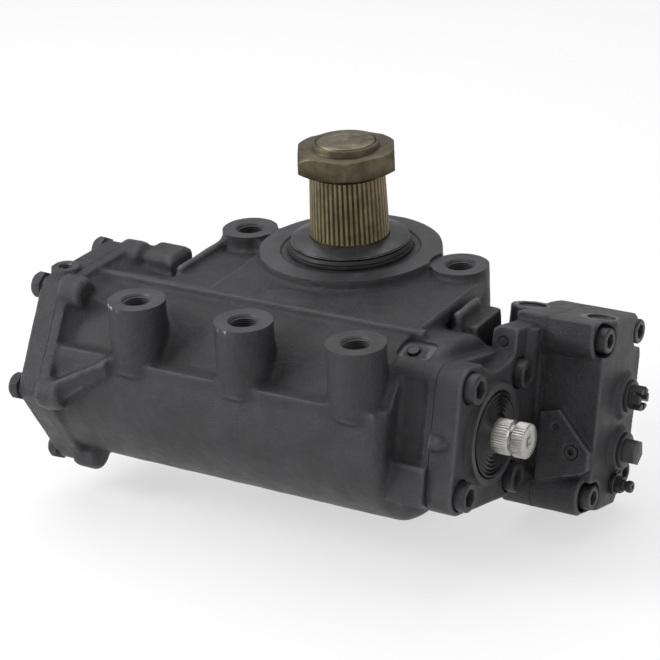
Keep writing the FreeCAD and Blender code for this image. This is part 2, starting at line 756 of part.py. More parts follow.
def sector_teeth():
    """The toothed part of the sector, about the Z axis, pointing to the worm."""
    root_r = d.gear_module * (d.sector_full_teeth / 2 - d.dedendum_share)
    tooth_step = 360.0 / d.sector_full_teeth
    span = 2 * (tooth_step + d.sector_side_degrees)
    blank = Part.makeCylinder(root_r, d.sector_width, FreeCAD.Vector(), FreeCAD.Vector(0, 0, 1), span)
    blank.rotate(FreeCAD.Vector(), FreeCAD.Vector(0, 0, 1), -90 - span / 2)
    teeth = [involute_tooth(-90 + i * tooth_step).extrude(FreeCAD.Vector(0, 0, d.sector_width))
             for i in (-1, 0, 1)]
    shape = blank.multiFuse(teeth)
    shape.translate(FreeCAD.Vector(d.sector_x, d.sector_y, worm_z - d.sector_width / 2))
    return feature("sector_teeth", shape)


def star(tip_r, root_r, teeth, height):
    points = []
    for i in range(2 * teeth):
        angle = math.pi * i / teeth
        point = polar(tip_r if i % 2 == 0 else root_r, angle)
        points.append(FreeCAD.Vector(point.x, point.y, height))
    return Part.makePolygon(points + [points[0]])


def tapered_serration():
    """The fine teeth that take the pitman arm, lofted from the big end to the small end."""
    teeth = int(d.serration_teeth)
    wires = [star(d.serration_big_r, d.serration_big_r - d.serration_depth, teeth, d.serration_start),
             star(d.serration_small_r, d.serration_small_r - d.serration_depth, teeth,
                  d.serration_start + d.serration_length)]
    shape = Part.makeLoft(wires, True, True)
    shape.translate(FreeCAD.Vector(d.sector_x, d.sector_y, 0))
    return feature("tapered_serration", shape)


def sector_shaft():
    top = "sector_tip_rise"
    serration_end = "serration_start + serration_length"
    half = "sector_width / 2"
    stub_end = "-(tower_bottom + 13 - side_gap)"
    shaft = turned("sector_turning", [
        ("0", stub_end), ("sector_stub_r - 1", stub_end), ("sector_stub_r", f"{stub_end} + 1"),
        ("sector_stub_r", f"{WORM_Z} - {half}"), ("34", f"{WORM_Z} - {half}"), ("34", f"{WORM_Z} + {half}"),
        ("sector_journal_r", f"{WORM_Z} + {half}"), ("sector_journal_r", "dust_disc_rise - 3.5"),
        ("serration_big_r", "dust_disc_rise - 3.5"), ("serration_big_r", "serration_start"),
        ("serration_big_r - serration_depth", "serration_start"),
        ("serration_small_r - serration_depth", serration_end), ("nut_thread_r", serration_end),
        ("nut_thread_r", f"{top} - 1.5"), ("nut_thread_r - 1.5", top), ("0", top)],
        ("sector_x", "sector_y", "0"))
    adjuster_seat = cylinder("12.3", "9", ("sector_x", "sector_y", f"{stub_end} - 1"))
    return piece("sector_shaft", cut(fuse(shaft, sector_teeth(), tapered_serration()), adjuster_seat))


def pitman_nut():
    """The nut that holds the arm: a chamfered hexagon between a washer face and a collar."""
    x, y = "sector_x", "sector_y"
    base = "(serration_start + serration_length + 0.1)"
    seat = f"({base} + nut_foot_height)"
    hexagon_part = prism("nut_af", "nut_height + 2.5", (x, y, seat))
    crown = cone("nut_af * 0.72", "nut_af * 0.46", "nut_height + 7", (x, y, seat))
    under = cone("nut_af / 2 + 1", "nut_af", "(nut_af / 2 - 1) / 1.73", (x, y, seat))
    foot = cylinder("nut_foot_r", "nut_foot_height + 2", (x, y, base))
    collar = cylinder("nut_collar_r", "nut_foot_height + nut_height + nut_collar_height", (x, y, base))
    thread = cylinder("nut_thread_r + 0.05", "45", (x, y, f"{base} - 2"))
    chamfered_hexagon = common(common(hexagon_part, crown), under)
    return piece("pitman_nut", cut(fuse(chamfered_hexagon, foot, collar), thread))


def dust_disc():
    rise = "dust_disc_rise"
    return piece("dust_disc", turned("dust_disc", [
        ("sector_journal_r + 0.1", f"{rise} - 4.5"), ("sector_journal_r + 4.2", f"{rise} - 4.5"),
        ("dust_disc_r", f"{rise} - 1.6"), ("dust_disc_r", rise), ("serration_big_r + 1", f"{rise} + 2.6"),
        ("serration_big_r + 0.2", f"{rise} + 2.6"), ("serration_big_r + 0.2", f"{rise} - 3.4"),
        ("sector_journal_r + 0.1", f"{rise} - 3.4")], ("sector_x", "sector_y", "0")))


def ring(label, inner_r, outer_r, length, at, turn=None):
    """A plain ring, such as a bush, a washer or a seal."""
    return piece(label, turned(label, [(inner_r, "0"), (outer_r, "0"), (outer_r, length), (inner_r, length)],
                               at, turn))


def sector_seals():
    """The needle bearings, the lip seal and the ring that holds it in the casting."""
    x, y = "sector_x", "sector_y"
    journal = "sector_journal_r + running_gap"
    ring("upper_sector_bearing", journal, "sector_journal_r + needle_wall - 0.1", "chamber_top - 14",
         (x, y, "-chamber_top + 0.3"))
    ring("lower_sector_bearing", "sector_stub_r + running_gap", "sector_stub_r + needle_wall - 0.1", "12",
         (x, y, "-tower_bottom - 12.9"))
    floor = "(ring_face_rise - seal_bore_depth)"
    piece("sector_seal", turned("sector_seal", [
        ("sector_journal_r + 0.3", f"{floor} + 0.1"), ("seal_bore_r - 0.1", f"{floor} + 0.1"),
        ("seal_bore_r - 0.1", "ring_face_rise - 3"), ("sector_journal_r + 15.5", "ring_face_rise - 3"),
        ("sector_journal_r + 15.1", "ring_face_rise + 0.5"), ("sector_journal_r + 12.8", "dust_disc_rise - 3.1"),
        ("sector_journal_r + 11.5", "dust_disc_rise - 2.7"), ("sector_journal_r + 9.2", "ring_face_rise - 3"),
        ("sector_journal_r + 6.2", "ring_face_rise + 1.2"), ("sector_journal_r + 4.2", "ring_face_rise + 1.2"),
        ("sector_journal_r + 3", "ring_face_rise - 3"), ("sector_journal_r + 0.3", "ring_face_rise - 3")],
        (x, y, "0")))
    ring("seal_retaining_ring", "seal_bore_r - 4", "seal_bore_r - 0.2", "1.8", (x, y, "ring_face_rise - 2.9"))


def adjuster():
    """The screw that moves the sector along its tapered mesh, and its lock nut."""
    x, y = "sector_x", "sector_y"
    seat = "-(tower_bottom + 13 - side_gap)"
    thread = cylinder("7.9", "36 - 9", (x, y, "-tower_bottom - 36"))
    head = cylinder("12", "7", (x, y, f"{seat} + 0.6"))
    slot = box("20", "2.4", "4", ("sector_x - 10", "sector_y - 1.2", "-tower_bottom - 37"))
    piece("adjuster_screw", cut(fuse(thread, head), slot))
    nut = prism("24", "7", (x, y, "-tower_bottom - sector_cover_thick - 15.1"))
    piece("adjuster_lock_nut", cut(nut, cylinder("8", "12", (x, y, "-tower_bottom - sector_cover_thick - 18"))))


# Piston: slides in the barrel, carries the rack on one side and the ball nut inside
def rack_cutter():
    """What is milled off the piston to leave its rack: the flat over the tips, and three spaces."""
    step = math.pi * d.gear_module
    pitch_line = d.centre_distance - d.gear_module * d.sector_full_teeth / 2
    tip = pitch_line + d.addendum_share * d.gear_module
    root = pitch_line - d.dedendum_share * d.gear_module
    lean = math.tan(math.radians(d.pressure_angle))
    half = (step / 2 + d.tooth_backlash) / 2
    reach = 1.5 * step + half + 2
    over = d.bore_r + 5
    corners = [(-reach, over), (-reach, tip)]
    for i in (-1, 0, 1):
        corners += [(i * step - half - (tip - pitch_line) * lean, tip),
                    (i * step - half + (pitch_line - root) * lean, root),
                    (i * step + half - (pitch_line - root) * lean, root),
                    (i * step + half + (tip - pitch_line) * lean, tip)]
    corners += [(reach, tip), (reach, over)]
    points = [FreeCAD.Vector(d.sector_x + x, worm_y + y, worm_z - d.bore_r) for x, y in corners]
    face = Part.Face(Part.makePolygon(points + [points[0]]))
    return feature("rack_cutter", face.extrude(FreeCAD.Vector(0, 0, 2 * d.bore_r)))


def groove(apex_r, mouth_r, turns, start_degrees):
    """A ball groove of V form, swept along a helix about the Z axis from Z zero."""
    helix = Part.makeHelix(d.worm_lead, d.worm_lead * turns, d.ball_circle_r)
    half_width = abs(mouth_r - apex_r)
    corners = [FreeCAD.Vector(apex_r, 0, 0), FreeCAD.Vector(mouth_r, 0, half_width),
               FreeCAD.Vector(mouth_r, 0, -half_width)]
    section = Part.makePolygon(corners + [corners[0]])
    shape = Part.Wire(helix).makePipeShell([section], True, True)
    shape.rotate(FreeCAD.Vector(), FreeCAD.Vector(0, 0, 1), start_degrees)
    return shape


def along_worm(shape, x):
    """Lays a shape that was made about Z on the worm axis, starting at x."""
    shape.Placement = FreeCAD.Placement(FreeCAD.Vector(x, worm_y, worm_z),
                                        FreeCAD.Rotation(*ALONG_X)).multiply(shape.Placement)
    return shape


V_DEPTH = (d.ball_r + d.groove_clearance) * math.sqrt(2)
circuit_length = d.worm_lead * d.circuit_turns
circuit_start = d.sector_x - circuit_length / 2


def groove_angle(x):
    """The angle, in degrees, at which the ball circuit's helix passes a place on the worm."""
    return 360.0 * (x - circuit_start) / d.worm_lead + 180.0


def rack_piston():
    right = "piston_right"
    left = "-piston_left"
    outer = "bore_r - piston_clearance"
    solid = turned("piston_turning", [
        ("0", left), (f"{outer} - 3", left), (outer, f"{left} + 3"), (outer, f"{left} + 9"),
        (f"{outer} - 4.5", f"{left} + 9"), (f"{outer} - 4.5", f"{left} + 14.4"), (outer, f"{left} + 14.4"),
        (outer, f"{right} - 2"), (f"{outer} - 2", right), ("worm_bore_r", right),
        ("worm_bore_r", f"{left} + 16"), ("0", f"{left} + 16")], ("0", WORM_Y, WORM_Z), ALONG_X)
    reach = d.ball_circle_r + V_DEPTH
    nut_groove = groove(reach, d.worm_bore_r - 0.6, d.circuit_turns + 0.2,
                        groove_angle(circuit_start - 0.1 * d.worm_lead))
    track = feature("nut_groove", along_worm(nut_groove, circuit_start - 0.1 * d.worm_lead))
    margin = TUBE_OUTER_R + 1.5
    pocket_floor = TUBE_OUT - TUBE_BEND - 0.1
    pocket = box(str(circuit_length + 2 * margin), f"bore_r + 1 - {pocket_floor}", f"2 * (ball_circle_r + {margin})",
                 (str(circuit_start - margin), f"{WORM_Y} - bore_r - 1", f"{WORM_Z} - ball_circle_r - {margin}"))
    legs = [cylinder(f"{TUBE_OUTER_R + 0.1}", "40", (f"{x}", f"{WORM_Y} - 45", f"{WORM_Z} + {z}"), ALONG_Y)
            for x, z in TUBE_ENDS]
    return piece("rack_piston", cut(solid, rack_cutter(), track, pocket, *legs))


TUBE_OUTER_R = d.ball_r + 1.4
TUBE_ENDS = [(circuit_start, d.ball_circle_r), (circuit_start + circuit_length, -d.ball_circle_r)]
TUBE_OUT = 38.0
TUBE_BEND = 9.0


def ball_return_tube():
    """The bent tube that takes the balls from one end of their circuit to the other."""
    (x1, z1), (x2, z2) = TUBE_ENDS
    start = FreeCAD.Vector(x1, worm_y - d.ball_circle_r - 4, worm_z + z1)
    corner_1 = FreeCAD.Vector(x1, worm_y - TUBE_OUT, worm_z + z1)
    corner_2 = FreeCAD.Vector(x2, worm_y - TUBE_OUT, worm_z + z2)
    end = FreeCAD.Vector(x2, worm_y - d.ball_circle_r - 4, worm_z + z2)
    path = rounded_path([start, corner_1, corner_2, end], TUBE_BEND)
    circles = [Part.Wire(Part.makeCircle(radius, start, FreeCAD.Vector(0, 1, 0)))
               for radius in (TUBE_OUTER_R, d.ball_r + 0.3)]
    outside, inside = [path.makePipeShell([circle], True, True) for circle in circles]
    return piece("ball_return_tube", feature("ball_return_tube", outside.cut(inside)))


def rounded_path(points, bend):
    """A path of straight runs with an arc at each inner point."""
    edges = []
    last = points[0]
    for before, corner, after in zip(points, points[1:], points[2:]):
        back = (before - corner).normalize()
        ahead = (after - corner).normalize()
        half = math.acos(max(-1.0, min(1.0, back.dot(ahead)))) / 2
        setback = bend / math.tan(half)
        middle = (back + ahead).normalize() * (bend / math.sin(half) - bend)
        arc_start = corner + back * setback
        arc_end = corner + ahead * setback
        edges.append(Part.LineSegment(last, arc_start).toShape())
        edges.append(Part.Arc(arc_start, corner + middle, arc_end).toShape())
        last = arc_end
    edges.append(Part.LineSegment(last, points[-1]).toShape())
    return Part.Wire(edges)


def ball_set():
    """The balls of one circuit, spaced along the helix in the piston's groove."""
    turn_length = math.hypot(2 * math.pi * d.ball_circle_r, d.worm_lead)
    count = int(d.circuit_turns * turn_length / (2 * d.ball_r + 0.3))
    balls = []
    for i in range(count):
        x = circuit_start + circuit_length * (i + 0.5) / count
        angle = math.radians(groove_angle(x))
        ball = Part.makeSphere(d.ball_r, polar(d.ball_circle_r, angle) + FreeCAD.Vector(0, 0, x))
        balls.append(ball)
    return piece("recirculating_balls", feature("recirculating_balls", along_worm(Part.makeCompound(balls), 0)))


def worm_shaft():
    """The worm, with the ball groove, its thrust collar and the hollow valve head."""
    left = "-worm_left"
    solid = turned("worm_turning", [
        ("0", left), ("worm_r - 2", left), ("worm_r", f"{left} + 2"), ("worm_r", "head_start - 8"),
        ("worm_neck_r", "head_start - 8"), ("worm_neck_r", "head_start"), ("head_r", "head_start"),
        ("head_r", "head_end"), ("rotor_r + running_gap", "head_end"), ("rotor_r + running_gap", "head_start + 4"),
        ("torsion_head_r + running_gap", "head_start + 4"), ("torsion_head_r + running_gap", "head_start - 26"),
        ("0", "head_start - 26")], ("0", WORM_Y, WORM_Z), ALONG_X)
    reach = circuit_length / 2 + math.radians(45.0) * d.gear_module * d.sector_full_teeth / 2 + 2 * d.ball_r
    turns = 2 * reach / d.worm_lead
    start = d.sector_x - reach
    cutter = groove(d.ball_circle_r - V_DEPTH, d.worm_r + 0.6, turns, groove_angle(start))
    return piece("worm_shaft", cut(solid, feature("worm_groove", along_worm(cutter, start))))


def piston_ring():
    return ring("piston_ring", "bore_r - 4.3", "bore_r - 0.02", "5", ("-piston_left + 9.2", WORM_Y, WORM_Z), ALONG_X)


def worm_bearings():
    """The two thrust bearings that hold the worm's head, and the needle bearing of the input shaft."""
    ring("inner_thrust_bearing", "worm_neck_r + 0.3", "neck_bore_r - 0.1", "head_start - side_gap - neck_start",
         ("neck_start", WORM_Y, WORM_Z), ALONG_X)
    ring("outer_thrust_bearing", "rotor_r + 4", "neck_bore_r - 1.1", "5.5",
         ("head_end + side_gap", WORM_Y, WORM_Z), ALONG_X)
    ring("input_bearing", "rotor_r - 1 + running_gap", "20", "5.5", ("head_end + 6", WORM_Y, WORM_Z), ALONG_X)


# Input shaft: the rotor of the valve, joined to the worm by a torsion bar
def input_shaft():
    end = "input_end"
    groove_x = "(input_end - 13)"
    bore = "(torsion_head_r + running_gap)"
    shaft = turned("input_turning", [
        (bore, "head_start + 4.3"), ("rotor_r", "head_start + 4.3"), ("rotor_r", "head_end + 2"),
        ("rotor_r - 1", "head_end + 2"), ("rotor_r - 1", "hub_front - 11"), ("input_r", "hub_front - 9.7"),
        ("input_r", groove_x), ("input_r - 1.6", f"{groove_x} + 1.2"), ("input_r - 1.6", f"{groove_x} + 2.8"),
        ("input_r", f"{groove_x} + 4"), ("input_r", f"{end} - 1.2"), ("input_r - 1.2", end),
        ("2.5", end), ("0", f"{end} - 2.5"), ("0", "hub_front - 9"), (bore, "hub_front - 9")],
        ("0", WORM_Y, WORM_Z), ALONG_X)
    pin_hole = cylinder("1.5", "40", ("hub_front - 14", WORM_Y, f"{WORM_Z} - 20"))
    return piece("input_shaft", cut(shaft, pin_hole))


def torsion_bar():
    start = "(head_start - 25.7)"
    waist = "torsion_bar_r"
    head = "torsion_head_r"
    bar = turned("bar_turning", [
        ("0", start), (head, start), (head, "head_start - 10"), (waist, "head_start - 6"),
        (waist, "hub_front - 23"), (head, "hub_front - 19"), (head, "hub_front - 9.3"), ("0", "hub_front - 9.3")],
        ("0", WORM_Y, WORM_Z), ALONG_X)
    pin_hole = cylinder("1.5", "40", ("hub_front - 14", WORM_Y, f"{WORM_Z} - 20"))
    piece("torsion_bar", cut(bar, pin_hole))
    pin = cylinder("1.45", "2 * rotor_r - 2.4", ("hub_front - 14", WORM_Y, f"{WORM_Z} - rotor_r + 1.2"))
    piece("torsion_pin", pin)


def input_seals():
    ring("input_lip_seal", "input_r + 0.25", "seal_pocket_r - 0.1", "6", ("hub_front - 9.4", WORM_Y, WORM_Z), ALONG_X)
    face = "(hub_front + 1)"
    ridges = [("input_r + 0.05", "hub_front - 2.9"), ("seal_pocket_r - 1", "hub_front - 2.9"),
              ("seal_pocket_r - 1", f"{face} - 1.2"), ("seal_pocket_r - 2.4", face), ("seal_pocket_r - 4.6", face)]
    for i in range(4):
        outer = f"seal_pocket_r - {6.0 + 2.6 * i:.1f}"
        inner = f"seal_pocket_r - {7.3 + 2.6 * i:.1f}"
        ridges += [(outer, f"{face} - 1.4"), (inner, face)]
    ridges += [("input_r + 2", face), ("input_r + 0.05", f"{face} + 1")]
    piece("input_dust_seal", turned("input_dust_seal", ridges, ("0", WORM_Y, WORM_Z), ALONG_X))


# Valve housing: the square plate on the barrel, and the inner half of the port block
BACK_SCREW_SIDE = "(block_screw_side + block_screw_pitch_side)"
BLOCK_SCREWS = [("block_screw_side", "block_screw_rise"), (BACK_SCREW_SIDE, "block_screw_rise"),
                ("block_screw_side", "-block_screw_drop"), (BACK_SCREW_SIDE, "-back_screw_drop")]
RELIEF = ("limiter_side", "limiter_rise")
SPOOL = ("spool_side", "-spool_drop")


def block_form(start, end, columns_end):
    """The outline of the port block: a core with a round column about each long screw."""
    core = extruded("block_core", [
        ("-block_top", "block_front"), ("block_bottom", "block_front"), ("block_bottom", "block_back - 20"),
        ("block_bottom - 8", "block_back - 14"), ("block_bottom - 14", "block_back - 2"), ("0", "block_back"),
        ("-block_top + 30", "block_back"), ("-block_top", "block_back - 9")],
        f"({end}) - ({start})", (start, "0", "0"), ALONG_X)
    columns = [cylinder("front_column_r" if side == "block_screw_side" else "back_column_r",
                        f"({columns_end}) - ({start})", (start, side, rise), ALONG_X) for side, rise in BLOCK_SCREWS]
    nose = box(f"({columns_end}) - ({start})", "front_column_r", "block_top - block_screw_rise",
               (start, "block_screw_side - front_column_r", "block_screw_rise"))
    above = box("200", "200", "40", ("50", "0", "block_top"))
    below = box("200", "200", "40", ("50", "0", "-block_bottom - 2 - 40"))
    return cut(fuse(core, nose, *columns), above, below)


def screw_pocket(side, rise):
    """The corner that is open about the head of a long screw, so that it sits below the face."""
    outward = 1 if side == BACK_SCREW_SIDE else -1
    upward = -1 if rise.startswith("-") else 1
    seat = cylinder("pocket_r", "30", ("block_screw_seat", side, rise), ALONG_X)
    reach = 30.0
    corner = box("30", str(reach), f"{reach} + pocket_r",
                 ("column_end", f"{side} - {reach if outward < 0 else 0}",
                  f"{rise} - {'pocket_r' if upward > 0 else reach}"))
    edge = f"{side} - {outward} * pocket_r"
    wedge = extruded("pocket_wedge", [
        ("column_end", f"{side}"), ("block_face + 1", f"{side}"), ("block_face + 1", edge)], str(reach),
        ("0", "0", rise if upward > 0 else f"{rise} - {reach}"))
    return fuse(seat, corner, wedge)


def port_hollow(x):
    """A port's mouth, the seat of its plug and the passage below."""
    floor = "block_top - port_recess - port_plug_thick"
    return fuse(cylinder("port_r", "20", (x, "port_side", "block_top - port_recess")),
                cylinder("port_seat_r", "port_plug_thick + 1", (x, "port_side", floor)),
                cylinder("port_passage_r", "port_passage_depth + 1", (x, "port_side", f"{floor} - port_passage_depth")))


def valve_housing():
    dip = cylinder("dip_r", "plate_front - joint_x + 2", ("joint_x - 1", "dip_side", "plate_half - dip_depth + dip_r"),
                   ALONG_X)
    plate = cut(square_plate("joint_x", "plate_front - joint_x"), dip)
    bump = fuse(cylinder("6.2", "7", ("joint_x + 0.5", "-plate_half + 0.5", "-0.5"), ALONG_X),
                cone("6.2", "2.5", "6", ("joint_x + 7.4", "-plate_half + 0.5", "-0.5"), ALONG_X))
    hub = cone("hub_r + 2", "hub_r", "hub_front - plate_front + 3", ("plate_front - 3", "0", "0"), ALONG_X)
    inner_half = block_form("joint_x + 2", "block_joint", "block_joint")
    bridge = box("plate_front - joint_x - 2", "34", "104", ("joint_x + 2", "40", "-42"))
    lug = extruded("lug", [("joint_x", "34"), ("plate_front", "34"), ("plate_front", "plate_half + lug_height - 1"),
                           ("joint_x + 5", "plate_half + lug_height"), ("joint_x", "plate_half + lug_height - 4")],
                   "62 - lug_side", ("0", "62", "0"), (FreeCAD.Vector(1, 0, 0), 90.0))
    column = cylinder("9", "36", ("joint_x + 15", "53", "32"))
    lobe = cylinder("port_r + 5.5", "54", ("port_x", "port_side", "block_top - 54"))
    solid = fuse(plate, hub, bump, inner_half, bridge, lug, column, lobe)
    tools = [
        cylinder("neck_bore_r - 1", "8", ("joint_x - 0.1", "0", "0"), ALONG_X),
        cylinder("20.1", "30", ("joint_x", "0", "0"), ALONG_X),
        cylinder("seal_pocket_r", "12", ("hub_front - 9.5", "0", "0"), ALONG_X),
        port_hollow("port_x"),
        seal_groove("neck_bore_r + 1.5", ("joint_x - 0.8", "0", "0"), ALONG_X),
        cylinder("relief_r", "20", ("block_joint - 14", *RELIEF), ALONG_X),
        cylinder("spool_r", "20", ("block_joint - 16", *SPOOL), ALONG_X),
    ]
    tools += [cylinder("plate_screw_r + 0.3", "30", ("joint_x - 5", *at), ALONG_X) for at in PLATE_SCREWS]
    tools.append(cylinder("3.5", "8", ("joint_x + lug_hole_x", "lug_side - 1", "plate_half + lug_hole_out"), ALONG_Y))
    tools += [cylinder("11.5", "12", ("plate_front - 6.3", *at), ALONG_X) for at in PLATE_SCREWS]
    tools += [cylinder("block_screw_r + 0.1", "22", ("block_joint - 20", *at), ALONG_X) for at in BLOCK_SCREWS]
    seal_ring("valve_housing_seal", "neck_bore_r + 1.5", ("joint_x", WORM_Y, WORM_Z), ALONG_X)
    return piece("valve_housing", valve_frame(cut(solid, *tools)))


def valve_housing_screws():
    master = socket_screw("10.5", "14", "plate_screw_r", "plate_front - joint_x + 12", "12")
    half = d.plate_half - d.plate_screw_inset
    seat = d.plate_front - 6.3
    placements = [FreeCAD.Placement(valve_vector(seat, i * half, k * half), TO_RIGHT) for i in (-1, 1) for k in (-1, 1)]
    return copies("valve_housing_screws", master, placements)


def block_gasket():
    sheet_form = block_form("block_joint", "block_joint + gasket_thick", "block_joint + gasket_thick")
    tools = [cylinder("block_screw_r + 0.4", "10", ("block_joint - 5", *at), ALONG_X) for at in BLOCK_SCREWS]
    tools += [cylinder("relief_r + 1", "10", ("block_joint - 5", *RELIEF), ALONG_X),
              cylinder("spool_r + 1", "10", ("block_joint - 5", *SPOOL), ALONG_X)]
    return piece("block_gasket", valve_frame(cut(sheet_form, *tools)))


# Valve block: the outer half, with the changeover spool, the pressure limiter and the second port
def valve_block():
    start = "block_joint + gasket_thick"
    form = block_form(start, "block_face", "column_end")
    pad = extruded("front_pad", [
        ("block_joint + 1.5", "7"), ("block_joint + 16", "11"), ("block_face - 1", "-16"), ("block_face - 1", "-29"),
        ("block_face - 6", "-33"), ("block_joint + 5", "-43"), ("block_joint + 1.5", "-41")], "14",
        ("0", "block_front + 7", "0"), (FreeCAD.Vector(1, 0, 0), 90.0))
    bosses = [cone("20", "14.5", "valve_boss_rise + 3", ("block_face - 3", *RELIEF), ALONG_X),
              cone("20", "14.5", "valve_boss_rise + 3", ("block_face - 3", *SPOOL), ALONG_X)]
    tools = [screw_pocket(side, rise) for side, rise in BLOCK_SCREWS]
    tools += [cylinder("block_screw_r + 0.3", "60", ("block_joint - 5", *at), ALONG_X) for at in BLOCK_SCREWS]
    tools += [port_hollow("port_x + port_pitch"),
              cylinder("relief_r", "60", ("block_joint - 5", *RELIEF), ALONG_X),
              cylinder("spool_r", "60", ("block_joint - 5", *SPOOL), ALONG_X),
              cylinder("5", "12", ("block_joint + 28", "block_front - 10", "-18"), ALONG_Y),
              cylinder("2", "12", ("block_joint + 14", "block_front - 10", "-2"), ALONG_Y),
              cylinder("4.1", "14", ("block_face - 12", "110", "-46"), ALONG_X)]
    return piece("valve_block", valve_frame(cut(fuse(form, pad, *bosses), *tools)))


def valve_block_screws():
    master = socket_screw("block_screw_head_r", "12", "block_screw_r", "block_screw_seat - block_joint + 18", "10")
    back = d.block_screw_side + d.block_screw_pitch_side
    spots = [(d.block_screw_side, d.block_screw_rise), (back, d.block_screw_rise),
             (d.block_screw_side, -d.block_screw_drop), (back, -d.back_screw_drop)]
    placements = [FreeCAD.Placement(valve_vector(d.block_screw_seat, side, rise), TO_RIGHT) for side, rise in spots]
    return copies("valve_block_screws", master, placements)


def port_plugs():
    """A thin flanged plug in each port."""
    plugs = []
    for x in ("port_x", "port_x + port_pitch"):
        floor = "block_top - port_recess - port_plug_thick"
        plugs.append(fuse(cylinder("port_seat_r - 0.1", "port_plug_thick", (x, "port_side", floor)),
                          cylinder("port_passage_r - 0.1", "8", (x, "port_side", f"{floor} - 7.5"))))
    return piece("port_plugs", valve_frame(fuse(*plugs)))


def limiter_adjuster():
    """The castellated screw that sets the pressure limiter, with its sealing collar."""
    at = valve_point("block_face + valve_boss_rise", *RELIEF)
    body = turned("limiter_turning", [
        ("0", "-limiter_depth"), ("relief_r - 0.1", "-limiter_depth"), ("relief_r - 0.1", "0"), ("12", "0"), ("12", "2.2"), ("8.5", "3"),
        ("8.5", "10.5"), ("7.6", "11.4"), ("4.2", "11.4"), ("4.2", "6"), ("0", "6")], at, ALONG_X)
    slots = []
    for degrees in (0, 60, 120):
        item = box("24", "2.4", "6", ("-12", "-1.2", "7.6"))
        item.Placement = FreeCAD.Placement(
            valve_vector(d.block_face + d.valve_boss_rise, d.limiter_side, d.limiter_rise), FreeCAD.Rotation(*ALONG_X)).multiply(
            FreeCAD.Placement(FreeCAD.Vector(), FreeCAD.Rotation(degrees, 0, 0)).multiply(
                FreeCAD.Placement(FreeCAD.Vector(-12, -1.2, 7.6), FreeCAD.Rotation())))
        slots.append(item)
    return piece("limiter_adjuster", cut(body, *slots))


def spool_plug():
    """The hexagon plug that closes the changeover spool's bore."""
    at = valve_point("block_face + valve_boss_rise", *SPOOL)
    body = turned("spool_plug_turning", [
        ("0", "-spool_plug_depth"), ("spool_r - 0.1", "-spool_plug_depth"), ("spool_r - 0.1", "0"), ("13", "0"), ("13", "2.4"), ("11", "3"),
        ("0", "3")], at, ALONG_X)
    head = prism("17", "11", at, ALONG_X)
    return piece("spool_plug", fuse(body, head))


def bleed_screw():
    at = valve_point("block_face + 0.1", "110", "-46")
    body = turned("bleed_turning", [
        ("0", "-9"), ("4", "-9"), ("4", "0"), ("6.5", "0"), ("6.5", "3"), ("4", "3.5"), ("3.2", "6"), ("3.2", "8"),
        ("4.2", "8.8"), ("4.2", "12"), ("3", "13.2"), ("0", "13.2")], at, ALONG_X)
    return piece("bleed_screw", body)


def front_pad_plug():
    x, side, rise = "block_joint + 28", "block_front - 7", "-18"
    plug = cylinder("4.9", "4.5", (x, f"{side} + 0.4", rise), ALONG_Y)
    key = prism("4", "3", (x, f"{side} + 0.3", rise), ALONG_Y)
    return piece("front_pad_plug", valve_frame(cut(plug, key)))


def gallery_plugs():
    """The small plugs that close the drilled galleries of the castings."""
    neck_plug = about_worm(held(cylinder("gallery_r - 0.1", "5", ("gallery_x", "0", f"{CROWN_R} - 7"))),
                           "gallery_lean")
    lug_plug = cylinder("3.4", "6", ("joint_x + lug_hole_x", "lug_side + 0.5", "plate_half + lug_hole_out"), ALONG_Y)
    pin_plug = cylinder("1.9", "5", ("block_joint + 14", "block_front - 6.8", "-2"), ALONG_Y)
    return piece("gallery_plugs", fuse(neck_plug, valve_frame(fuse(lug_plug, pin_plug))))


def cover_port_plug():
    plug = cylinder("cover_port_hole_r - 0.1", "10", COVER_PORT + ("-11.9",))
    key = prism("5", "6", COVER_PORT + ("-6",))
    return piece("cover_port_plug", cut(plug, key))


# Changeover spool and limiter poppet: slide against springs inside the valve block
SPOOL_REST = "(block_joint - spool_rest)"
RELIEF_REST = "(block_joint - poppet_rest)"


def changeover_spool():
    r = "spool_r - running_gap / 2"
    return piece("changeover_spool", turned("changeover_spool", [
        ("0", "0"), (r, "0"), (r, "7"), ("spool_r - 3", "7"), ("spool_r - 3", "13"), (r, "13"), (r, "20"),
        ("spool_r - 3", "20"), ("spool_r - 3", "25"), (r, "25"), (r, "spool_shoulder"), ("3.5", "spool_shoulder"),
        ("3.5", "spool_shoulder + 4"), ("0", "spool_shoulder + 4")],
        valve_point(SPOOL_REST, *SPOOL), ALONG_X))


def limiter_poppet():
    r = "relief_r - running_gap / 2"
    return piece("limiter_poppet", turned("limiter_poppet", [
        ("0", "0"), ("1.5", "0"), ("relief_r - 2", "5"), (r, "5"), (r, "poppet_shoulder"), ("3", "poppet_shoulder"),
        ("3", "poppet_shoulder + 4"), ("0", "poppet_shoulder + 4")],
        valve_point(RELIEF_REST, *RELIEF), ALONG_X))


def coil_spring(label, radius, wire_r, start, end, turns, side, rise):
    """A compression spring along X, with its end turns on the seats."""
    length = end - start - 2 * wire_r
    helix = Part.makeHelix(length / turns, length, radius)
    corners = [FreeCAD.Vector(radius + wire_r * math.cos(math.radians(a)), 0, wire_r * math.sin(math.radians(a)))
               for a in range(0, 360, 60)]
    section = Part.makePolygon(corners + [corners[0]])
    shape = Part.Wire(helix).makePipeShell([section], True, True)
    shape.Placement = FreeCAD.Placement(valve_vector(start + wire_r, side, rise), FreeCAD.Rotation(*ALONG_X))
    return piece(label, feature(label, shape))


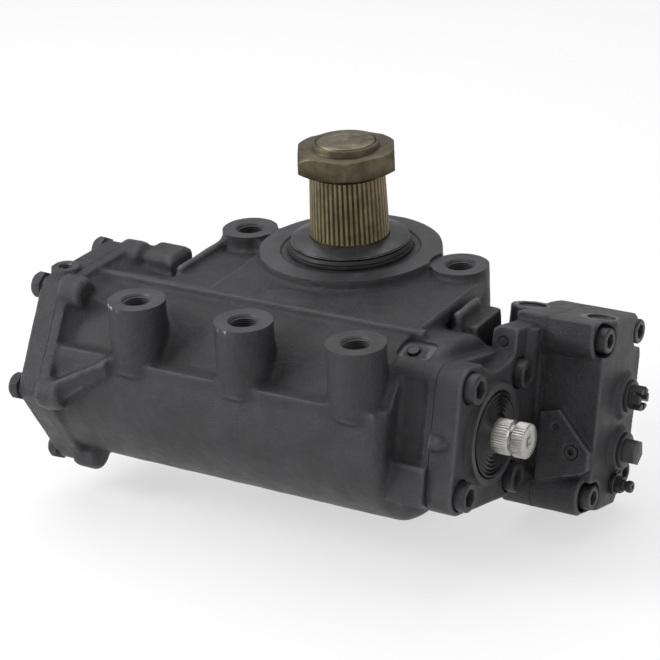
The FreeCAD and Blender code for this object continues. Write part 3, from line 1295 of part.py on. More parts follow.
def valve_springs():
    boss_face = d.block_face + d.valve_boss_rise
    coil_spring("spool_spring", 6.0, 0.9, d.block_joint - d.spool_rest + d.spool_shoulder + d.spring_gap,
                boss_face - d.spool_plug_depth - d.spring_gap, 4, d.spool_side, -d.spool_drop)
    coil_spring("limiter_spring", 4.8, 0.8, d.block_joint - d.poppet_rest + d.poppet_shoulder + d.spring_gap,
                boss_face - d.limiter_depth - d.spring_gap, 4, d.limiter_side, d.limiter_rise)


housing()
end_cover()
end_cover_screws()
cover_port_plug()
sector_cover()
sector_cover_screws()
sector_shaft()
pitman_nut()
dust_disc()
sector_seals()
adjuster()
rack_piston()
piston_ring()
ball_return_tube()
ball_set()
worm_shaft()
worm_bearings()
input_shaft()
torsion_bar()
input_seals()
valve_housing()
valve_housing_screws()
block_gasket()
valve_block()
valve_block_screws()
port_plugs()
limiter_adjuster()
spool_plug()
bleed_screw()
gallery_plugs()
front_pad_plug()
changeover_spool()
limiter_poppet()
valve_springs()

doc.recompute()
for item in doc.Objects:
    if "Invalid" in item.State or "Error" in item.State:
        raise RuntimeError(f"{item.Name} ({item.Label}) did not compute")
os.makedirs("parts", exist_ok=True)
for item in pieces:
    shape = item.Shape
    if shape.isNull() or not shape.isValid():
        raise RuntimeError(f"{item.Label} has no valid shape")
    shape.exportStep(f"parts/{item.Label}.step")
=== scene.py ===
import math

import bmesh
import bpy
import numpy as np
from mathutils import Matrix, Vector, noise


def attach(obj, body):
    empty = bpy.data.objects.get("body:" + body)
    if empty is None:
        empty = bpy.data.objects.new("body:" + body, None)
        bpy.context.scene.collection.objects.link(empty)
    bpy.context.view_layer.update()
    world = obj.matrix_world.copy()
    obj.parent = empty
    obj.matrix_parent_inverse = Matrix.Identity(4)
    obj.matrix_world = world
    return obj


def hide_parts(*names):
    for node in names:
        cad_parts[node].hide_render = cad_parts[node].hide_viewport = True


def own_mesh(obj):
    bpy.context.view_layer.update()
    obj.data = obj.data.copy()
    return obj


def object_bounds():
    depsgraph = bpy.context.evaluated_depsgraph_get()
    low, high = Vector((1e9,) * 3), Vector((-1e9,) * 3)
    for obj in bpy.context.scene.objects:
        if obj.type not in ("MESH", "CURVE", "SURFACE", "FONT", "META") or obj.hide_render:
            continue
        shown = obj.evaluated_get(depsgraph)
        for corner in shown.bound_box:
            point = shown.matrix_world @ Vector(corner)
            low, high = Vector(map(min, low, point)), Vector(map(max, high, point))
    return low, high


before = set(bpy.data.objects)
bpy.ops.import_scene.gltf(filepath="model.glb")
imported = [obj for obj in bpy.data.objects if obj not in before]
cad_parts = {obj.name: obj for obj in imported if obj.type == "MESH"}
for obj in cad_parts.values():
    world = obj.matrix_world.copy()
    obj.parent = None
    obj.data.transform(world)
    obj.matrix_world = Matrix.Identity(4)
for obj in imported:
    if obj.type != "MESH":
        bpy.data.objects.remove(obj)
cad_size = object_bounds()

# Camera: it stands where the photograph was taken from, turned by the right, up and back
# directions of the picture plane. The lens is long, because the photograph was taken from afar.
CAMERA_PLACE = (0.845045, -1.324888, 0.654820)
RIGHT = (0.859825, 0.508308, -0.048207)
UP = (-0.167842, 0.370549, 0.913522)
BACK = (0.482214, -0.777378, 0.403923)
LENS = 129.69
camera = bpy.data.objects.new("camera", bpy.data.cameras.new("camera"))
bpy.context.collection.objects.link(camera)
picture_plane = Matrix((RIGHT, UP, BACK)).transposed().to_4x4()
camera.matrix_world = Matrix.Translation(CAMERA_PLACE) @ picture_plane
camera.data.lens = LENS
camera.data.sensor_width = 36.0
camera.data.clip_end = 20.0
bpy.context.scene.camera = camera

# Housing: one grey iron casting holds the barrel of the worm and the chamber of the sector shaft.
# It is sand cast and sprayed with satin black chassis paint; its boss tops, ring face, joints,
# bores and threads are machined before the paint. All lengths below are in millimetres.
MM = 0.001
ALONG_X = Matrix.Rotation(math.radians(90), 4, "Y")
ALONG_Y = Matrix.Rotation(math.radians(-90), 4, "X")
ROW = Matrix.Identity(4)
WORM = Matrix.Translation((0, -23.7 * MM, -76.1 * MM))
WORM_AXIS = WORM @ ALONG_X
SECTOR_AXIS = Matrix.Translation((2 * MM, 69.3 * MM, 0))
VALVE_TILT = -14.73
GALLERY_TILT = 14.8
VALVE = WORM @ Matrix.Rotation(math.radians(VALVE_TILT), 4, "X")
GALLERY = WORM @ Matrix.Rotation(math.radians(GALLERY_TILT), 4, "X")
BOSSES = [(-90.0, -75.5), (-90.0, 75.5), (90.0, -75.5), (90.0, 75.5), (0.0, -75.5)]
HOLE_R = 10.0
HEXAGON_R = 84.87
RIM_R = 22.2


def linear(code):
    """The linear colour of an sRGB hex code."""
    parts = [int(code[i:i + 2], 16) / 255 for i in (0, 2, 4)]
    return [v / 12.92 if v <= 0.04045 else ((v + 0.055) / 1.055) ** 2.4 for v in parts] + [1.0]


def wire(made, inputs):
    """Gives a node's inputs their values, or links them to another node's output."""
    for socket, value in inputs.items():
        if isinstance(value, bpy.types.NodeSocket):
            made.id_data.links.new(value, made.inputs[socket])
        else:
            made.inputs[socket].default_value = value


def add(tree, kind, inputs, **settings):
    """Adds a node with its settings and inputs, and gives its outputs."""
    made = tree.nodes.new("ShaderNode" + kind)
    for name, value in settings.items():
        setattr(made, name, value)
    wire(made, inputs)
    return made.outputs


def new_material(name):
    """An empty material: itself, its node tree, its shader and the place on the object."""
    material = bpy.data.materials.new(name)
    material.use_nodes = True
    tree = material.node_tree
    return material, tree, tree.nodes["Principled BSDF"], add(tree, "TexCoord", {})["Object"]


def chassis_paint(name, dark, light, grain_depth, dullest):
    """Satin black chassis paint on iron. On a cast face the grain of the sand mould breaks its
    sheen, and paler specks are painted in as glints; dust and handling leave paler patches 30 mm
    wide, convex edges get a painted highlight and hollows a painted shade, and front rims are
    rubbed down to the metal. The sand is drawn 1 mm wide, which is coarser than it is, so that it shows."""
    paint, tree, shader, place = new_material(name)
    patch = add(tree, "TexNoise", {"Vector": place, "Scale": 1 / (30 * MM), "Detail": 4.0,
                                   "Roughness": 0.62})["Fac"]
    patch = add(tree, "MapRange", {"Value": patch, "From Min": 0.38, "From Max": 0.66})["Result"]
    colour = add(tree, "Mix", {0: patch, 6: linear(dark), 7: linear(light)}, data_type="RGBA")[2]
    # Painted glints: small paler specks in the colour that stand in for the sparkle of the grain.
    painted_glint = add(tree, "TexNoise", {"Vector": place, "Scale": 1 / (0.45 * MM), "Detail": 1.0})["Fac"]
    painted_glint = add(tree, "MapRange", {"Value": painted_glint, "From Min": 0.58, "From Max": 0.74,
                                   "To Max": 0.4})["Result"]
    colour = add(tree, "Mix", {0: painted_glint, 6: colour, 7: linear("6a6a70")}, data_type="RGBA")[2]
    rubbed = add(tree, "Attribute", {}, attribute_name="wear")["Fac"]
    chip = add(tree, "TexNoise", {"Vector": place, "Scale": 1 / (2.6 * MM), "Detail": 4.0,
                                  "Roughness": 0.65})["Fac"]
    chip = add(tree, "Math", {0: rubbed, 1: chip}, operation="MULTIPLY")["Value"]
    chip = add(tree, "MapRange", {"Value": chip, "From Min": 0.34, "From Max": 0.44,
                                  "To Max": 0.85})["Result"]
    colour = add(tree, "Mix", {0: chip, 6: colour, 7: linear("b4b3b0")}, data_type="RGBA")[2]
    bend = add(tree, "Attribute", {}, attribute_name="bend")["Fac"]
    # Convex edges are painted paler: a painted highlight.
    edge = add(tree, "MapRange", {"Value": bend, "From Min": 0.03, "From Max": 0.16,
                                  "To Max": 0.6})["Result"]
    colour = add(tree, "Mix", {0: edge, 6: colour, 7: linear("66666b")}, data_type="RGBA")[2]
    # Hollows are painted darker: a painted shade.
    painted_corner_shade = add(tree, "MapRange", {"Value": bend, "From Min": -0.02, "From Max": -0.16,
                                    "To Max": 0.8})["Result"]
    colour = add(tree, "Mix", {0: painted_corner_shade, 6: colour, 7: linear("0f0f11")}, data_type="RGBA")[2]
    rough = add(tree, "TexNoise", {"Vector": place, "Scale": 1 / (16 * MM), "Detail": 3.0})["Fac"]
    rough = add(tree, "MapRange", {"Value": rough, "From Min": 0.3, "From Max": 0.7,
                                   "To Min": dullest - 0.14, "To Max": dullest})["Result"]
    sand = add(tree, "TexNoise", {"Vector": place, "Scale": 1 / (1.0 * MM), "Detail": 3.0,
                                  "Roughness": 0.7})["Fac"]
    sand = add(tree, "Bump", {"Height": sand, "Distance": grain_depth * MM, "Strength": 1.0})["Normal"]
    swell = add(tree, "TexNoise", {"Vector": place, "Scale": 1 / (6.5 * MM), "Detail": 3.0,
                                   "Roughness": 0.55})["Fac"]
    swell = add(tree, "Bump", {"Height": swell, "Distance": 1.8 * grain_depth * MM, "Strength": 0.6,
                               "Normal": sand})["Normal"]
    wire(shader, {"Base Color": colour, "Roughness": rough, "Normal": swell, "Specular IOR Level": 0.45})
    return paint


# The paint is nearly black and broken up by the sand's grain on a cast face. On a machined face
# it lies flat, and looks greyer and smoother.
CAST_PAINT = chassis_paint("chassis_paint_on_sand_cast_iron", "1f1f22", "2d2d30",
                           grain_depth=0.75, dullest=0.52)
MACHINED_PAINT = chassis_paint("chassis_paint_on_machined_iron", "2e2e30", "3f3e41",
                               grain_depth=0.08, dullest=0.44)


def rod(bm, radius, length, at, turn=ROW, where=ROW):
    """A round bar from a point along the turned Z axis."""
    start = where @ Matrix.Translation(Vector(at) * MM) @ turn
    place = start @ Matrix.Translation((0, 0, length * MM / 2))
    bmesh.ops.create_cone(bm, cap_ends=True, segments=64, radius1=radius * MM, radius2=radius * MM,
                          depth=length * MM, matrix=place)


def block(bm, low, high, where=ROW):
    """A square-edged block between two corners. Gives its points."""
    size = [(b - a) * MM for a, b in zip(low, high)]
    middle = [(a + b) * MM / 2 for a, b in zip(low, high)]
    place = where @ Matrix.Translation(middle) @ Matrix.Diagonal((*size, 1.0))
    return bmesh.ops.create_cube(bm, size=1.0, matrix=place)["verts"]


def join(bm, form):
    """Adds one bmesh to another."""
    mesh = bpy.data.meshes.new("form")
    form.to_mesh(mesh)
    form.free()
    bm.from_mesh(mesh)
    bpy.data.meshes.remove(mesh)


def turned(bm, section, axis, steps=72, ring=False):
    """A form turned from half its section, given as (radius, height) corners. The section starts
    and ends on the axis, or closes on itself as a ring's does."""
    form = bmesh.new()
    corners = [form.verts.new(axis @ (Vector((radius, 0, height)) * MM)) for radius, height in section]
    edges = [form.edges.new(pair) for pair in zip(corners, corners[1:])]
    if ring:
        edges.append(form.edges.new((corners[-1], corners[0])))
    bmesh.ops.spin(form, geom=corners + edges, cent=axis.translation, axis=axis.to_3x3().col[2],
                   angle=2 * math.pi, steps=steps, use_merge=True)
    bmesh.ops.remove_doubles(form, verts=form.verts, dist=2e-6)
    join(bm, form)


def round_corners(bm, corners, tangent):
    """Rounds the edges of a plate that run along the gear."""
    edges = {edge for corner in corners for edge in corner.link_edges
             if abs(edge.verts[0].co.x - edge.verts[1].co.x) > MM}
    bmesh.ops.bevel(bm, geom=list(edges), affect="EDGES", offset=tangent * MM, segments=6,
                    profile=0.5, material=-1)


def square_plate(bm, low, high):
    """The outline of the valve joint: 104 mm square with corners of 15 mm."""
    round_corners(bm, block(bm, (low, -52, -52), (high, 52, 52), VALVE), 15.0)


def hexagon_plate(bm, low, high):
    """The outline of the end cover: a hexagon of 147 mm across flats with corners of 9 mm."""
    place = WORM @ Matrix.Translation(((low + high) * MM / 2, 0, 0)) @ ALONG_X
    corners = bmesh.ops.create_cone(bm, cap_ends=True, segments=6, radius1=HEXAGON_R * MM,
                                    radius2=HEXAGON_R * MM, depth=(high - low) * MM,
                                    matrix=place)["verts"]
    round_corners(bm, corners, 9.0 * math.tan(math.radians(30)))


def as_object(name, bm, material, smooth=35.0):
    """Makes an object of a bmesh, with soft shading up to an angle in degrees."""
    bmesh.ops.recalc_face_normals(bm, faces=bm.faces)
    mesh = bpy.data.meshes.new(name)
    bm.to_mesh(mesh)
    bm.free()
    mesh.materials.append(material)
    item = bpy.data.objects.new(name, mesh)
    bpy.context.collection.objects.link(item)
    shade(mesh, smooth)
    return item


def shade(mesh, degrees):
    """Shades a mesh softly, but for the edges sharper than an angle."""
    for face in mesh.polygons:
        face.use_smooth = True
    mesh.set_sharp_from_angle(angle=math.radians(degrees))


def apply_modifiers(item):
    """Gives an object the mesh that its modifiers make, and takes them off."""
    graph = bpy.context.evaluated_depsgraph_get()
    mesh = bpy.data.meshes.new_from_object(item.evaluated_get(graph))
    item.modifiers.clear()
    item.data = mesh


def solid_of(name):
    """A bmesh of a solid of the frame, with its loose triangles merged."""
    bm = bmesh.new()
    bm.from_mesh(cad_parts[name].data)
    bmesh.ops.remove_doubles(bm, verts=bm.verts, dist=1e-6)
    return bm


def cut_away(item, cutters):
    """Cuts machined faces and holes into a form. Each cutter draws closed shapes that lie apart."""
    tools = []
    for draw in cutters:
        bm = bmesh.new()
        draw(bm)
        tools.append(as_object("cutter", bm, MACHINED_PAINT))
        machining = item.modifiers.new("machining", "BOOLEAN")
        machining.operation = "DIFFERENCE"
        machining.solver = "MANIFOLD"
        machining.material_mode = "TRANSFER"
        machining.object = tools[-1]
    apply_modifiers(item)
    for tool in tools:
        bpy.data.objects.remove(tool)


def mark_bends(mesh, spacing):
    """Stores how strongly the surface bends outwards, or inwards where negative, at each point."""
    count = len(mesh.vertices)
    places, normals = np.zeros(count * 3, np.float32), np.zeros(count * 3, np.float32)
    mesh.vertices.foreach_get("co", places)
    mesh.vertex_normals.foreach_get("vector", normals)
    places, normals = places.reshape(-1, 3), normals.reshape(-1, 3)
    ends = np.zeros(len(mesh.edges) * 2, np.int32)
    mesh.edges.foreach_get("vertices", ends)
    one, other = ends.reshape(-1, 2).T
    neighbours = np.bincount(one, minlength=count) + np.bincount(other, minlength=count)

    def average(values):
        total = np.bincount(one, values[other], count) + np.bincount(other, values[one], count)
        return total / neighbours

    towards = np.stack([average(places[:, axis]) for axis in range(3)], 1) - places
    bend = -(towards * normals).sum(1) / (spacing * MM)
    for _ in range(2):
        bend = 0.5 * bend + 0.5 * average(bend)
    mesh.attributes.new("bend", "FLOAT", "POINT").data.foreach_set("value", bend.astype(np.float32))


def cast_skin(name, solid, fill, cutters, voxel, rounding, lump):
    """A casting made from its solid. The voxels and the smoothing melt its edges and corners as
    sand casting leaves them, noise leaves slight lumps about 18 and 7 mm across, and the
    machining is cut in crisply."""
    bm = solid_of(solid)
    fill(bm)
    item = as_object(name, bm, CAST_PAINT)
    melt = item.modifiers.new("melt", "REMESH")
    melt.mode = "VOXEL"
    melt.voxel_size = voxel * MM
    soften = item.modifiers.new("soften", "SMOOTH")
    soften.factor = 0.5
    soften.iterations = rounding
    apply_modifiers(item)
    mark_bends(item.data, voxel)
    moved = []
    for vertex in item.data.vertices:
        waves = noise.noise(vertex.co * 55.0) + 0.5 * noise.noise(vertex.co * 140.0)
        moved.extend(vertex.co + vertex.normal * (waves * lump * MM))
    item.data.vertices.foreach_set("co", moved)
    item.data.update()
    cut_away(item, cutters)
    shade(item.data, 38.0)
    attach(item, "root")
    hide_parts(solid)
    return item


def rub(item, rims, reach):
    """Marks the rims whose paint is rubbed off: each is a place and how strongly it is worn."""
    places = np.zeros(len(item.data.vertices) * 3, np.float32)
    item.data.vertices.foreach_get("co", places)
    places = places.reshape(-1, 3)
    worn = np.zeros(len(places), np.float32)
    for at, share in rims:
        away = np.linalg.norm(places - np.array(at) * MM, axis=1)
        worn = np.maximum(worn, share * (1 - away / (reach * MM)))
    item.data.attributes.new("wear", "FLOAT", "POINT").data.foreach_set("value", worn)


def housing_fill(bm):
    """Fills the bores and joints of the solid, so that the casting melts only its outside."""
    turned(bm, [(0, -169), (56.3, -169), (56.3, 105), (37.3, 109), (37.3, 149), (0, 149)], WORM_AXIS)
    turned(bm, [(0, -147), (60.3, -147), (60.3, -46), (52, -46), (52, 4), (0, 4)], SECTOR_AXIS)
    turned(bm, [(0, -2), (66.5, -2), (66.5, 5), (0, 5)], SECTOR_AXIS)
    turned(bm, [(0, -147), (82, -147), (82, -136), (0, -136)], SECTOR_AXIS)
    hexagon_plate(bm, -169, -158)
    square_plate(bm, 138, 149)
    for x, y in BOSSES:
        rod(bm, HOLE_R + 0.2, 37.0, (x, y, -35.0))
        rod(bm, 21.0, 6.0, (x, y, -3.0))


def housing_faces(bm):
    """The ring face, the joints at both ends and the sector cover's joint, machined flat."""
    block(bm, (-130.0, -110.0, 2.0), (140.0, 150.0, 30.0))
    block(bm, (-220.0, -140.0, -180.0), (-163.6, 100.0, 30.0))
    block(bm, (143.6, -80.0, -80.0), (170.0, 80.0, 80.0), VALVE)
    rod(bm, 83.0, 60.0, (2.0, 69.3, -201.0))


def housing_bosses(bm):
    """The boss tops with their holes, the sector's chamber, and its shaft's and seal's bores."""
    for x, y in BOSSES:
        turned(bm, [(0, -34), (HOLE_R, -34), (HOLE_R, -1.3), (HOLE_R + 1.4, 0), (22.4, 0),
                    (22.4, 20), (0, 20)], Matrix.Translation((x * MM, y * MM, 0)))
    turned(bm, [(0, -170), (60, -170), (60, -47), (38, -47), (38, -7), (51.5, -7), (51.5, 1.1),
                (52.4, 2), (52.4, 30), (0, 30)], SECTOR_AXIS)


def housing_barrel(bm):
    """The piston's bore, and the narrower bore of the worm's end."""
    turned(bm, [(0, -190), (56, -190), (56, 104), (20, 104), (20, 110), (37, 110), (37, 160),
                (0, 160)], WORM_AXIS)


def housing_pocket(bm):
    """The flat pocket in the neck's crown, 3 mm deep, that holds a gallery plug."""
    corners = block(bm, (104.0, -10.0, 61.5), (130.0, 10.0, 77.0), GALLERY)
    upright = {edge for corner in corners for edge in corner.link_edges
               if edge.calc_length() < 16 * MM}
    bmesh.ops.bevel(bm, geom=list(upright), affect="EDGES", offset=5 * MM, segments=5,
                    profile=0.5, material=-1)


def housing_gallery(bm):
    """The stepped hole of the gallery plug, in the middle of its pocket."""
    turned(bm, [(0, 57), (4.6, 57), (4.6, 61), (5.4, 62), (5.4, 66), (0, 66)],
           GALLERY @ Matrix.Translation((114 * MM, 0, 0)))


housing = cast_skin("housing_casting", "housing", housing_fill,
                    [housing_faces, housing_bosses, housing_barrel, housing_pocket, housing_gallery],
                    voxel=1.95, rounding=3, lump=0.3)

# The paint is worn off the front rims of three bosses: at four places of each, going round from
# the left, to the share given.
rims = []
for boss, shares in ((0, (1.0, 1.0, 0.9, 0.6)), (4, (0.7, 0.9, 1.0, 0.7)), (2, (0.4, 0.6, 0.8, 0.4))):
    for degrees, share in zip((-132, -116, -98, -80), shares):
        out = RIM_R * Vector((math.cos(math.radians(degrees)), math.sin(math.radians(degrees))))
        rims.append(((BOSSES[boss][0] + out.x, BOSSES[boss][1] + out.y, -1.0), share))
rub(housing, rims, reach=7.0)

# Mounting threads: M20 x 1.5, tapped into the five bosses and sprayed over with the housing.
# Each is the ridge of the thread alone, wound down its hole.
PITCH = 1.5
DEPTH = 0.9
TURNS = 17
STEPS = 40
THREAD_TOP = -1.4
ridge = bmesh.new()
crest = [ridge.verts.new(Vector((radius, 0, height)) * MM) for radius, height in (
    (HOLE_R, THREAD_TOP), (HOLE_R - DEPTH, THREAD_TOP - 0.42 * PITCH),
    (HOLE_R - DEPTH, THREAD_TOP - 0.58 * PITCH), (HOLE_R, THREAD_TOP - PITCH))]
flanks = [ridge.edges.new(pair) for pair in zip(crest, crest[1:])]
bmesh.ops.spin(ridge, geom=crest + flanks, cent=(0, 0, 0), axis=(0, 0, 1),
               dvec=(0, 0, -PITCH * MM / STEPS), angle=2 * math.pi * TURNS, steps=STEPS * TURNS)
thread_bm = bmesh.new()
for boss_x, boss_y in BOSSES:
    one = ridge.copy()
    bmesh.ops.translate(one, verts=one.verts, vec=(boss_x * MM, boss_y * MM, 0))
    join(thread_bm, one)
ridge.free()
threads = as_object("mounting_threads", thread_bm, MACHINED_PAINT, smooth=50.0)
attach(threads, "root")

# End cover: the six-sided iron lid of the barrel, cast and painted like the housing. Six cap
# screws hold it, a ring seals it, and a plug closes the tapped port beside its middle.
SEAL_R = 14.0


def end_cover_fill(bm):
    hexagon_plate(bm, -175, -158)


def end_cover_faces(bm):
    """The joint's flat face, and the seat and hole of the port's plug."""
    block(bm, (-163.9, -140.0, -180.0), (-140.0, 100.0, 30.0))
    turned(bm, [(0, -12), (4.6, -12), (4.6, -1), (5.5, 0), (SEAL_R, 0), (SEAL_R, 10), (0, 10)],
           Matrix.Translation(Vector((-175.0, -44.7, 0)) * MM))


cast_skin("end_cover_casting", "end_cover", end_cover_fill, [end_cover_faces],
          voxel=1.2, rounding=3, lump=0.2)


def steel(name, dark, light, stain, roughness, metallic, tool_mark=0.7, depth=0.05):
    """Steel as a lathe and a surface treatment leave it: two close tones in patches of 14 mm,
    stained spots of 4 mm and tool marks. The marks are drawn 0.5 to 1.2 mm wide, which is
    coarser than they are, so that they show."""
    metal, tree, shader, place = new_material(name)
    patch = add(tree, "TexNoise", {"Vector": place, "Scale": 1 / (14 * MM), "Detail": 4.0,
                                   "Roughness": 0.6})["Fac"]
    patch = add(tree, "MapRange", {"Value": patch, "From Min": 0.35, "From Max": 0.65})["Result"]
    colour = add(tree, "Mix", {0: patch, 6: linear(dark), 7: linear(light)}, data_type="RGBA")[2]
    spot = add(tree, "TexNoise", {"Vector": place, "Scale": 1 / (4 * MM), "Detail": 4.0,
                                  "Roughness": 0.65})["Fac"]
    spot = add(tree, "MapRange", {"Value": spot, "From Min": 0.58, "From Max": 0.72,
                                  "To Max": 0.6})["Result"]
    colour = add(tree, "Mix", {0: spot, 6: colour, 7: linear(stain)}, data_type="RGBA")[2]
    rough = add(tree, "TexNoise", {"Vector": place, "Scale": 1 / (8 * MM), "Detail": 3.0})["Fac"]
    rough = add(tree, "MapRange", {"Value": rough, "From Min": 0.3, "From Max": 0.7,
                                   "To Min": roughness - 0.08, "To Max": roughness + 0.09})["Result"]
    mark = add(tree, "TexNoise", {"Vector": place, "Scale": 1 / (tool_mark * MM), "Detail": 2.0})["Fac"]
    mark = add(tree, "Bump", {"Height": mark, "Distance": depth * MM, "Strength": 0.6})["Normal"]
    wire(shader, {"Base Color": colour, "Roughness": rough, "Metallic": metallic, "Normal": mark})
    return metal


def nitrile(name, dark, light, roughness):
    """Moulded nitrile rubber: nearly black, with dull and shiny areas 10 mm wide. The skin that
    the mould leaves is drawn 1.2 mm wide, which is coarser than it is, so that it shows."""
    rubber, tree, shader, place = new_material(name)
    patch = add(tree, "TexNoise", {"Vector": place, "Scale": 1 / (10 * MM), "Detail": 3.0})["Fac"]
    patch = add(tree, "MapRange", {"Value": patch, "From Min": 0.35, "From Max": 0.65})["Result"]
    colour = add(tree, "Mix", {0: patch, 6: linear(dark), 7: linear(light)}, data_type="RGBA")[2]
    rough = add(tree, "MapRange", {"Value": patch, "To Min": roughness - 0.05,
                                   "To Max": roughness + 0.1})["Result"]
    skin = add(tree, "TexNoise", {"Vector": place, "Scale": 1 / (1.2 * MM), "Detail": 2.0})["Fac"]
    skin = add(tree, "Bump", {"Height": skin, "Distance": 0.06 * MM, "Strength": 0.4})["Normal"]
    wire(shader, {"Base Color": colour, "Roughness": rough, "Normal": skin, "Specular IOR Level": 0.35})
    return rubber


# The screws' black oxide shows through the paint as a soft metal sheen. The seals' rubber is the
# blackest thing on the gear, and shines a little as if wet.
BLACK_SCREW = steel("painted_black_oxide_steel", "28282b", "38383a", "1f1f21",
                    roughness=0.42, metallic=0.3, tool_mark=1.2, depth=0.08)
SEAL_RUBBER = nitrile("moulded_nitrile_rubber", "0b0b0c", "141415", roughness=0.3)


def dress(material, *names):
    """Gives solids that stay as they are in the frame their material."""
    for name in names:
        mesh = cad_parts[name].data
        mesh.materials.clear()
        mesh.materials.append(material)


def eased(name, body, material, width=0.5, flat=4.0):
    """A machined piece with the small rounded edges that its solid leaves out."""
    bm = solid_of(name)
    bmesh.ops.dissolve_limit(bm, angle_limit=math.radians(flat), verts=bm.verts, edges=bm.edges)
    item = as_object(name + "_eased", bm, material)
    edges = item.modifiers.new("edges", "BEVEL")
    edges.width = width * MM
    edges.segments = 2
    edges.limit_method = "ANGLE"
    edges.angle_limit = math.radians(32)
    apply_modifiers(item)
    shade(item.data, 40.0)
    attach(item, body)
    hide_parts(name)


eased("end_cover_screws", "root", BLACK_SCREW)
dress(BLACK_SCREW, "cover_port_plug")
dress(SEAL_RUBBER, "end_cover_seal")

# Valve housing: an iron casting, painted like the housing, that closes the barrel's right end.
# Four cap screws in counterbores hold its square plate. It carries the input bearing and seal,
# and its far side is the inner half of the port block.
PORT = [(0, 40), (4.5, 40), (4.5, 73.5), (9.5, 73.5), (9.5, 74.4), (10.2, 74.4), (10.2, 75.7), (10.5, 76),
        (15, 76), (15, 90), (0, 90)]
PLATE_SCREW = 37.5
SPOOL_PLACE = (111.0, -20.5)
LIMITER_PLACE = (112.0, 19.0)


def valve_axis(side, rise):
    """A place of the turned valve end, looking along the gear."""
    return VALVE @ Matrix.Translation(Vector((0, side, rise)) * MM) @ ALONG_X


def port_axis(x):
    """The middle line of an oil port in the top of the port block."""
    return VALVE @ Matrix.Translation(Vector((x, 92.5, 0)) * MM)


def add_slab(bm, name, low, high):
    """Adds a thin flat solid, such as a gasket, stretched along the gear."""
    slab = solid_of(name)
    middle = sum(vertex.co.x for vertex in slab.verts) / len(slab.verts)
    for vertex in slab.verts:
        vertex.co.x = (low if vertex.co.x < middle else high) * MM
    join(bm, slab)


def valve_housing_fill(bm):
    turned(bm, [(0, 138), (36.3, 138), (36.3, 153), (31.5, 154), (31.5, 164), (35.6, 164),
                (35.6, 170), (0, 170)], WORM_AXIS)
    square_plate(bm, 139, 150)
    add_slab(bm, "block_gasket", 160, 173)
    rod(bm, 10.6, 20.0, (143.0, 92.5, 57.0), ROW, VALVE)
    for side in (-PLATE_SCREW, PLATE_SCREW):
        for rise in (-PLATE_SCREW, PLATE_SCREW):
            rod(bm, 11.7, 10.0, (153.0, side, rise), ALONG_X, VALVE)


def valve_housing_faces(bm):
    """The joints to the housing and to the valve block, machined flat."""
    block(bm, (120.0, -70.0, -70.0), (144.0, 64.0, 80.0), VALVE)
    block(bm, (169.0, 62.0, -90.0), (190.0, 180.0, 90.0), VALVE)


def valve_housing_holes(bm):
    """The input's stepped bore, a port, the counterbores, spool, limiter and gallery holes."""
    turned(bm, [(0, 120), (36, 120), (36, 152), (20.1, 152), (20.1, 158), (31, 158), (31, 166.9),
                (31.6, 167.5), (40, 167.5), (40, 180), (0, 180)], WORM_AXIS)
    turned(bm, PORT, port_axis(143.0))
    for side in (-PLATE_SCREW, PLATE_SCREW):
        for rise in (-PLATE_SCREW, PLATE_SCREW):
            turned(bm, [(0, 120), (7.3, 120), (7.3, 156.7), (11.5, 156.7), (11.5, 180), (0, 180)],
                   valve_axis(side, rise))
    turned(bm, [(0, 153), (9, 153), (9, 185), (0, 185)], valve_axis(*SPOOL_PLACE))
    turned(bm, [(0, 155), (7.5, 155), (7.5, 185), (0, 185)], valve_axis(*LIMITER_PLACE))
    turned(bm, [(0, -1.5), (4.4, -1.5), (4.4, 0.6), (3.5, 1.4), (3.5, 7), (0, 7)],
           VALVE @ Matrix.Translation(Vector((152.6, 28.0, 58.9)) * MM) @ ALONG_Y)


cast_skin("valve_housing_casting", "valve_housing", valve_housing_fill,
          [valve_housing_faces, valve_housing_holes], voxel=1.15, rounding=3, lump=0.2)
eased("valve_housing_screws", "root", BLACK_SCREW)
dress(SEAL_RUBBER, "valve_housing_seal")
dress(BLACK_SCREW, "gallery_plugs")

# Valve block: the outer half of the port block, a cast and painted iron cover with four cap
# screws, a sheet gasket under it, the limiter's adjusting screw, the spool plug, a bleed screw
# and a threaded plug in each oil port.
BLOCK_SCREWS = [(77.0, 63.0), (131.0, 63.0), (77.0, -51.0), (131.0, -42.0)]


def valve_block_fill(bm):
    add_slab(bm, "block_gasket", 166, 180)
    rod(bm, 10.6, 20.0, (197.0, 92.5, 57.0), ROW, VALVE)


def valve_block_faces(bm):
    block(bm, (150.0, 55.0, -90.0), (169.6, 180.0, 90.0), VALVE)


def valve_block_holes(bm):
    """A port, the screws' counterbores, the bores of spool and limiter, and the front plug's."""
    turned(bm, PORT, port_axis(197.0))
    for side, rise in BLOCK_SCREWS:
        turned(bm, [(0, 160), (6.3, 160), (6.3, 200), (11.5, 200), (11.5, 230), (0, 230)],
               valve_axis(side, rise))
    turned(bm, [(0, 160), (9, 160), (9, 217), (14, 217), (14, 230), (0, 230)],
           valve_axis(*SPOOL_PLACE))
    turned(bm, [(0, 160), (7.5, 160), (7.5, 217), (14, 217), (14, 230), (0, 230)],
           valve_axis(*LIMITER_PLACE))
    turned(bm, [(0, -4), (5.6, -4), (5.6, 0), (5.0, 0.6), (5.0, 8), (0, 8)],
           VALVE @ Matrix.Translation(Vector((197.0, 63.5, -18.0)) * MM) @ ALONG_Y)


cast_skin("valve_block_casting", "valve_block", valve_block_fill,
          [valve_block_faces, valve_block_holes], voxel=1.05, rounding=3, lump=0.2)

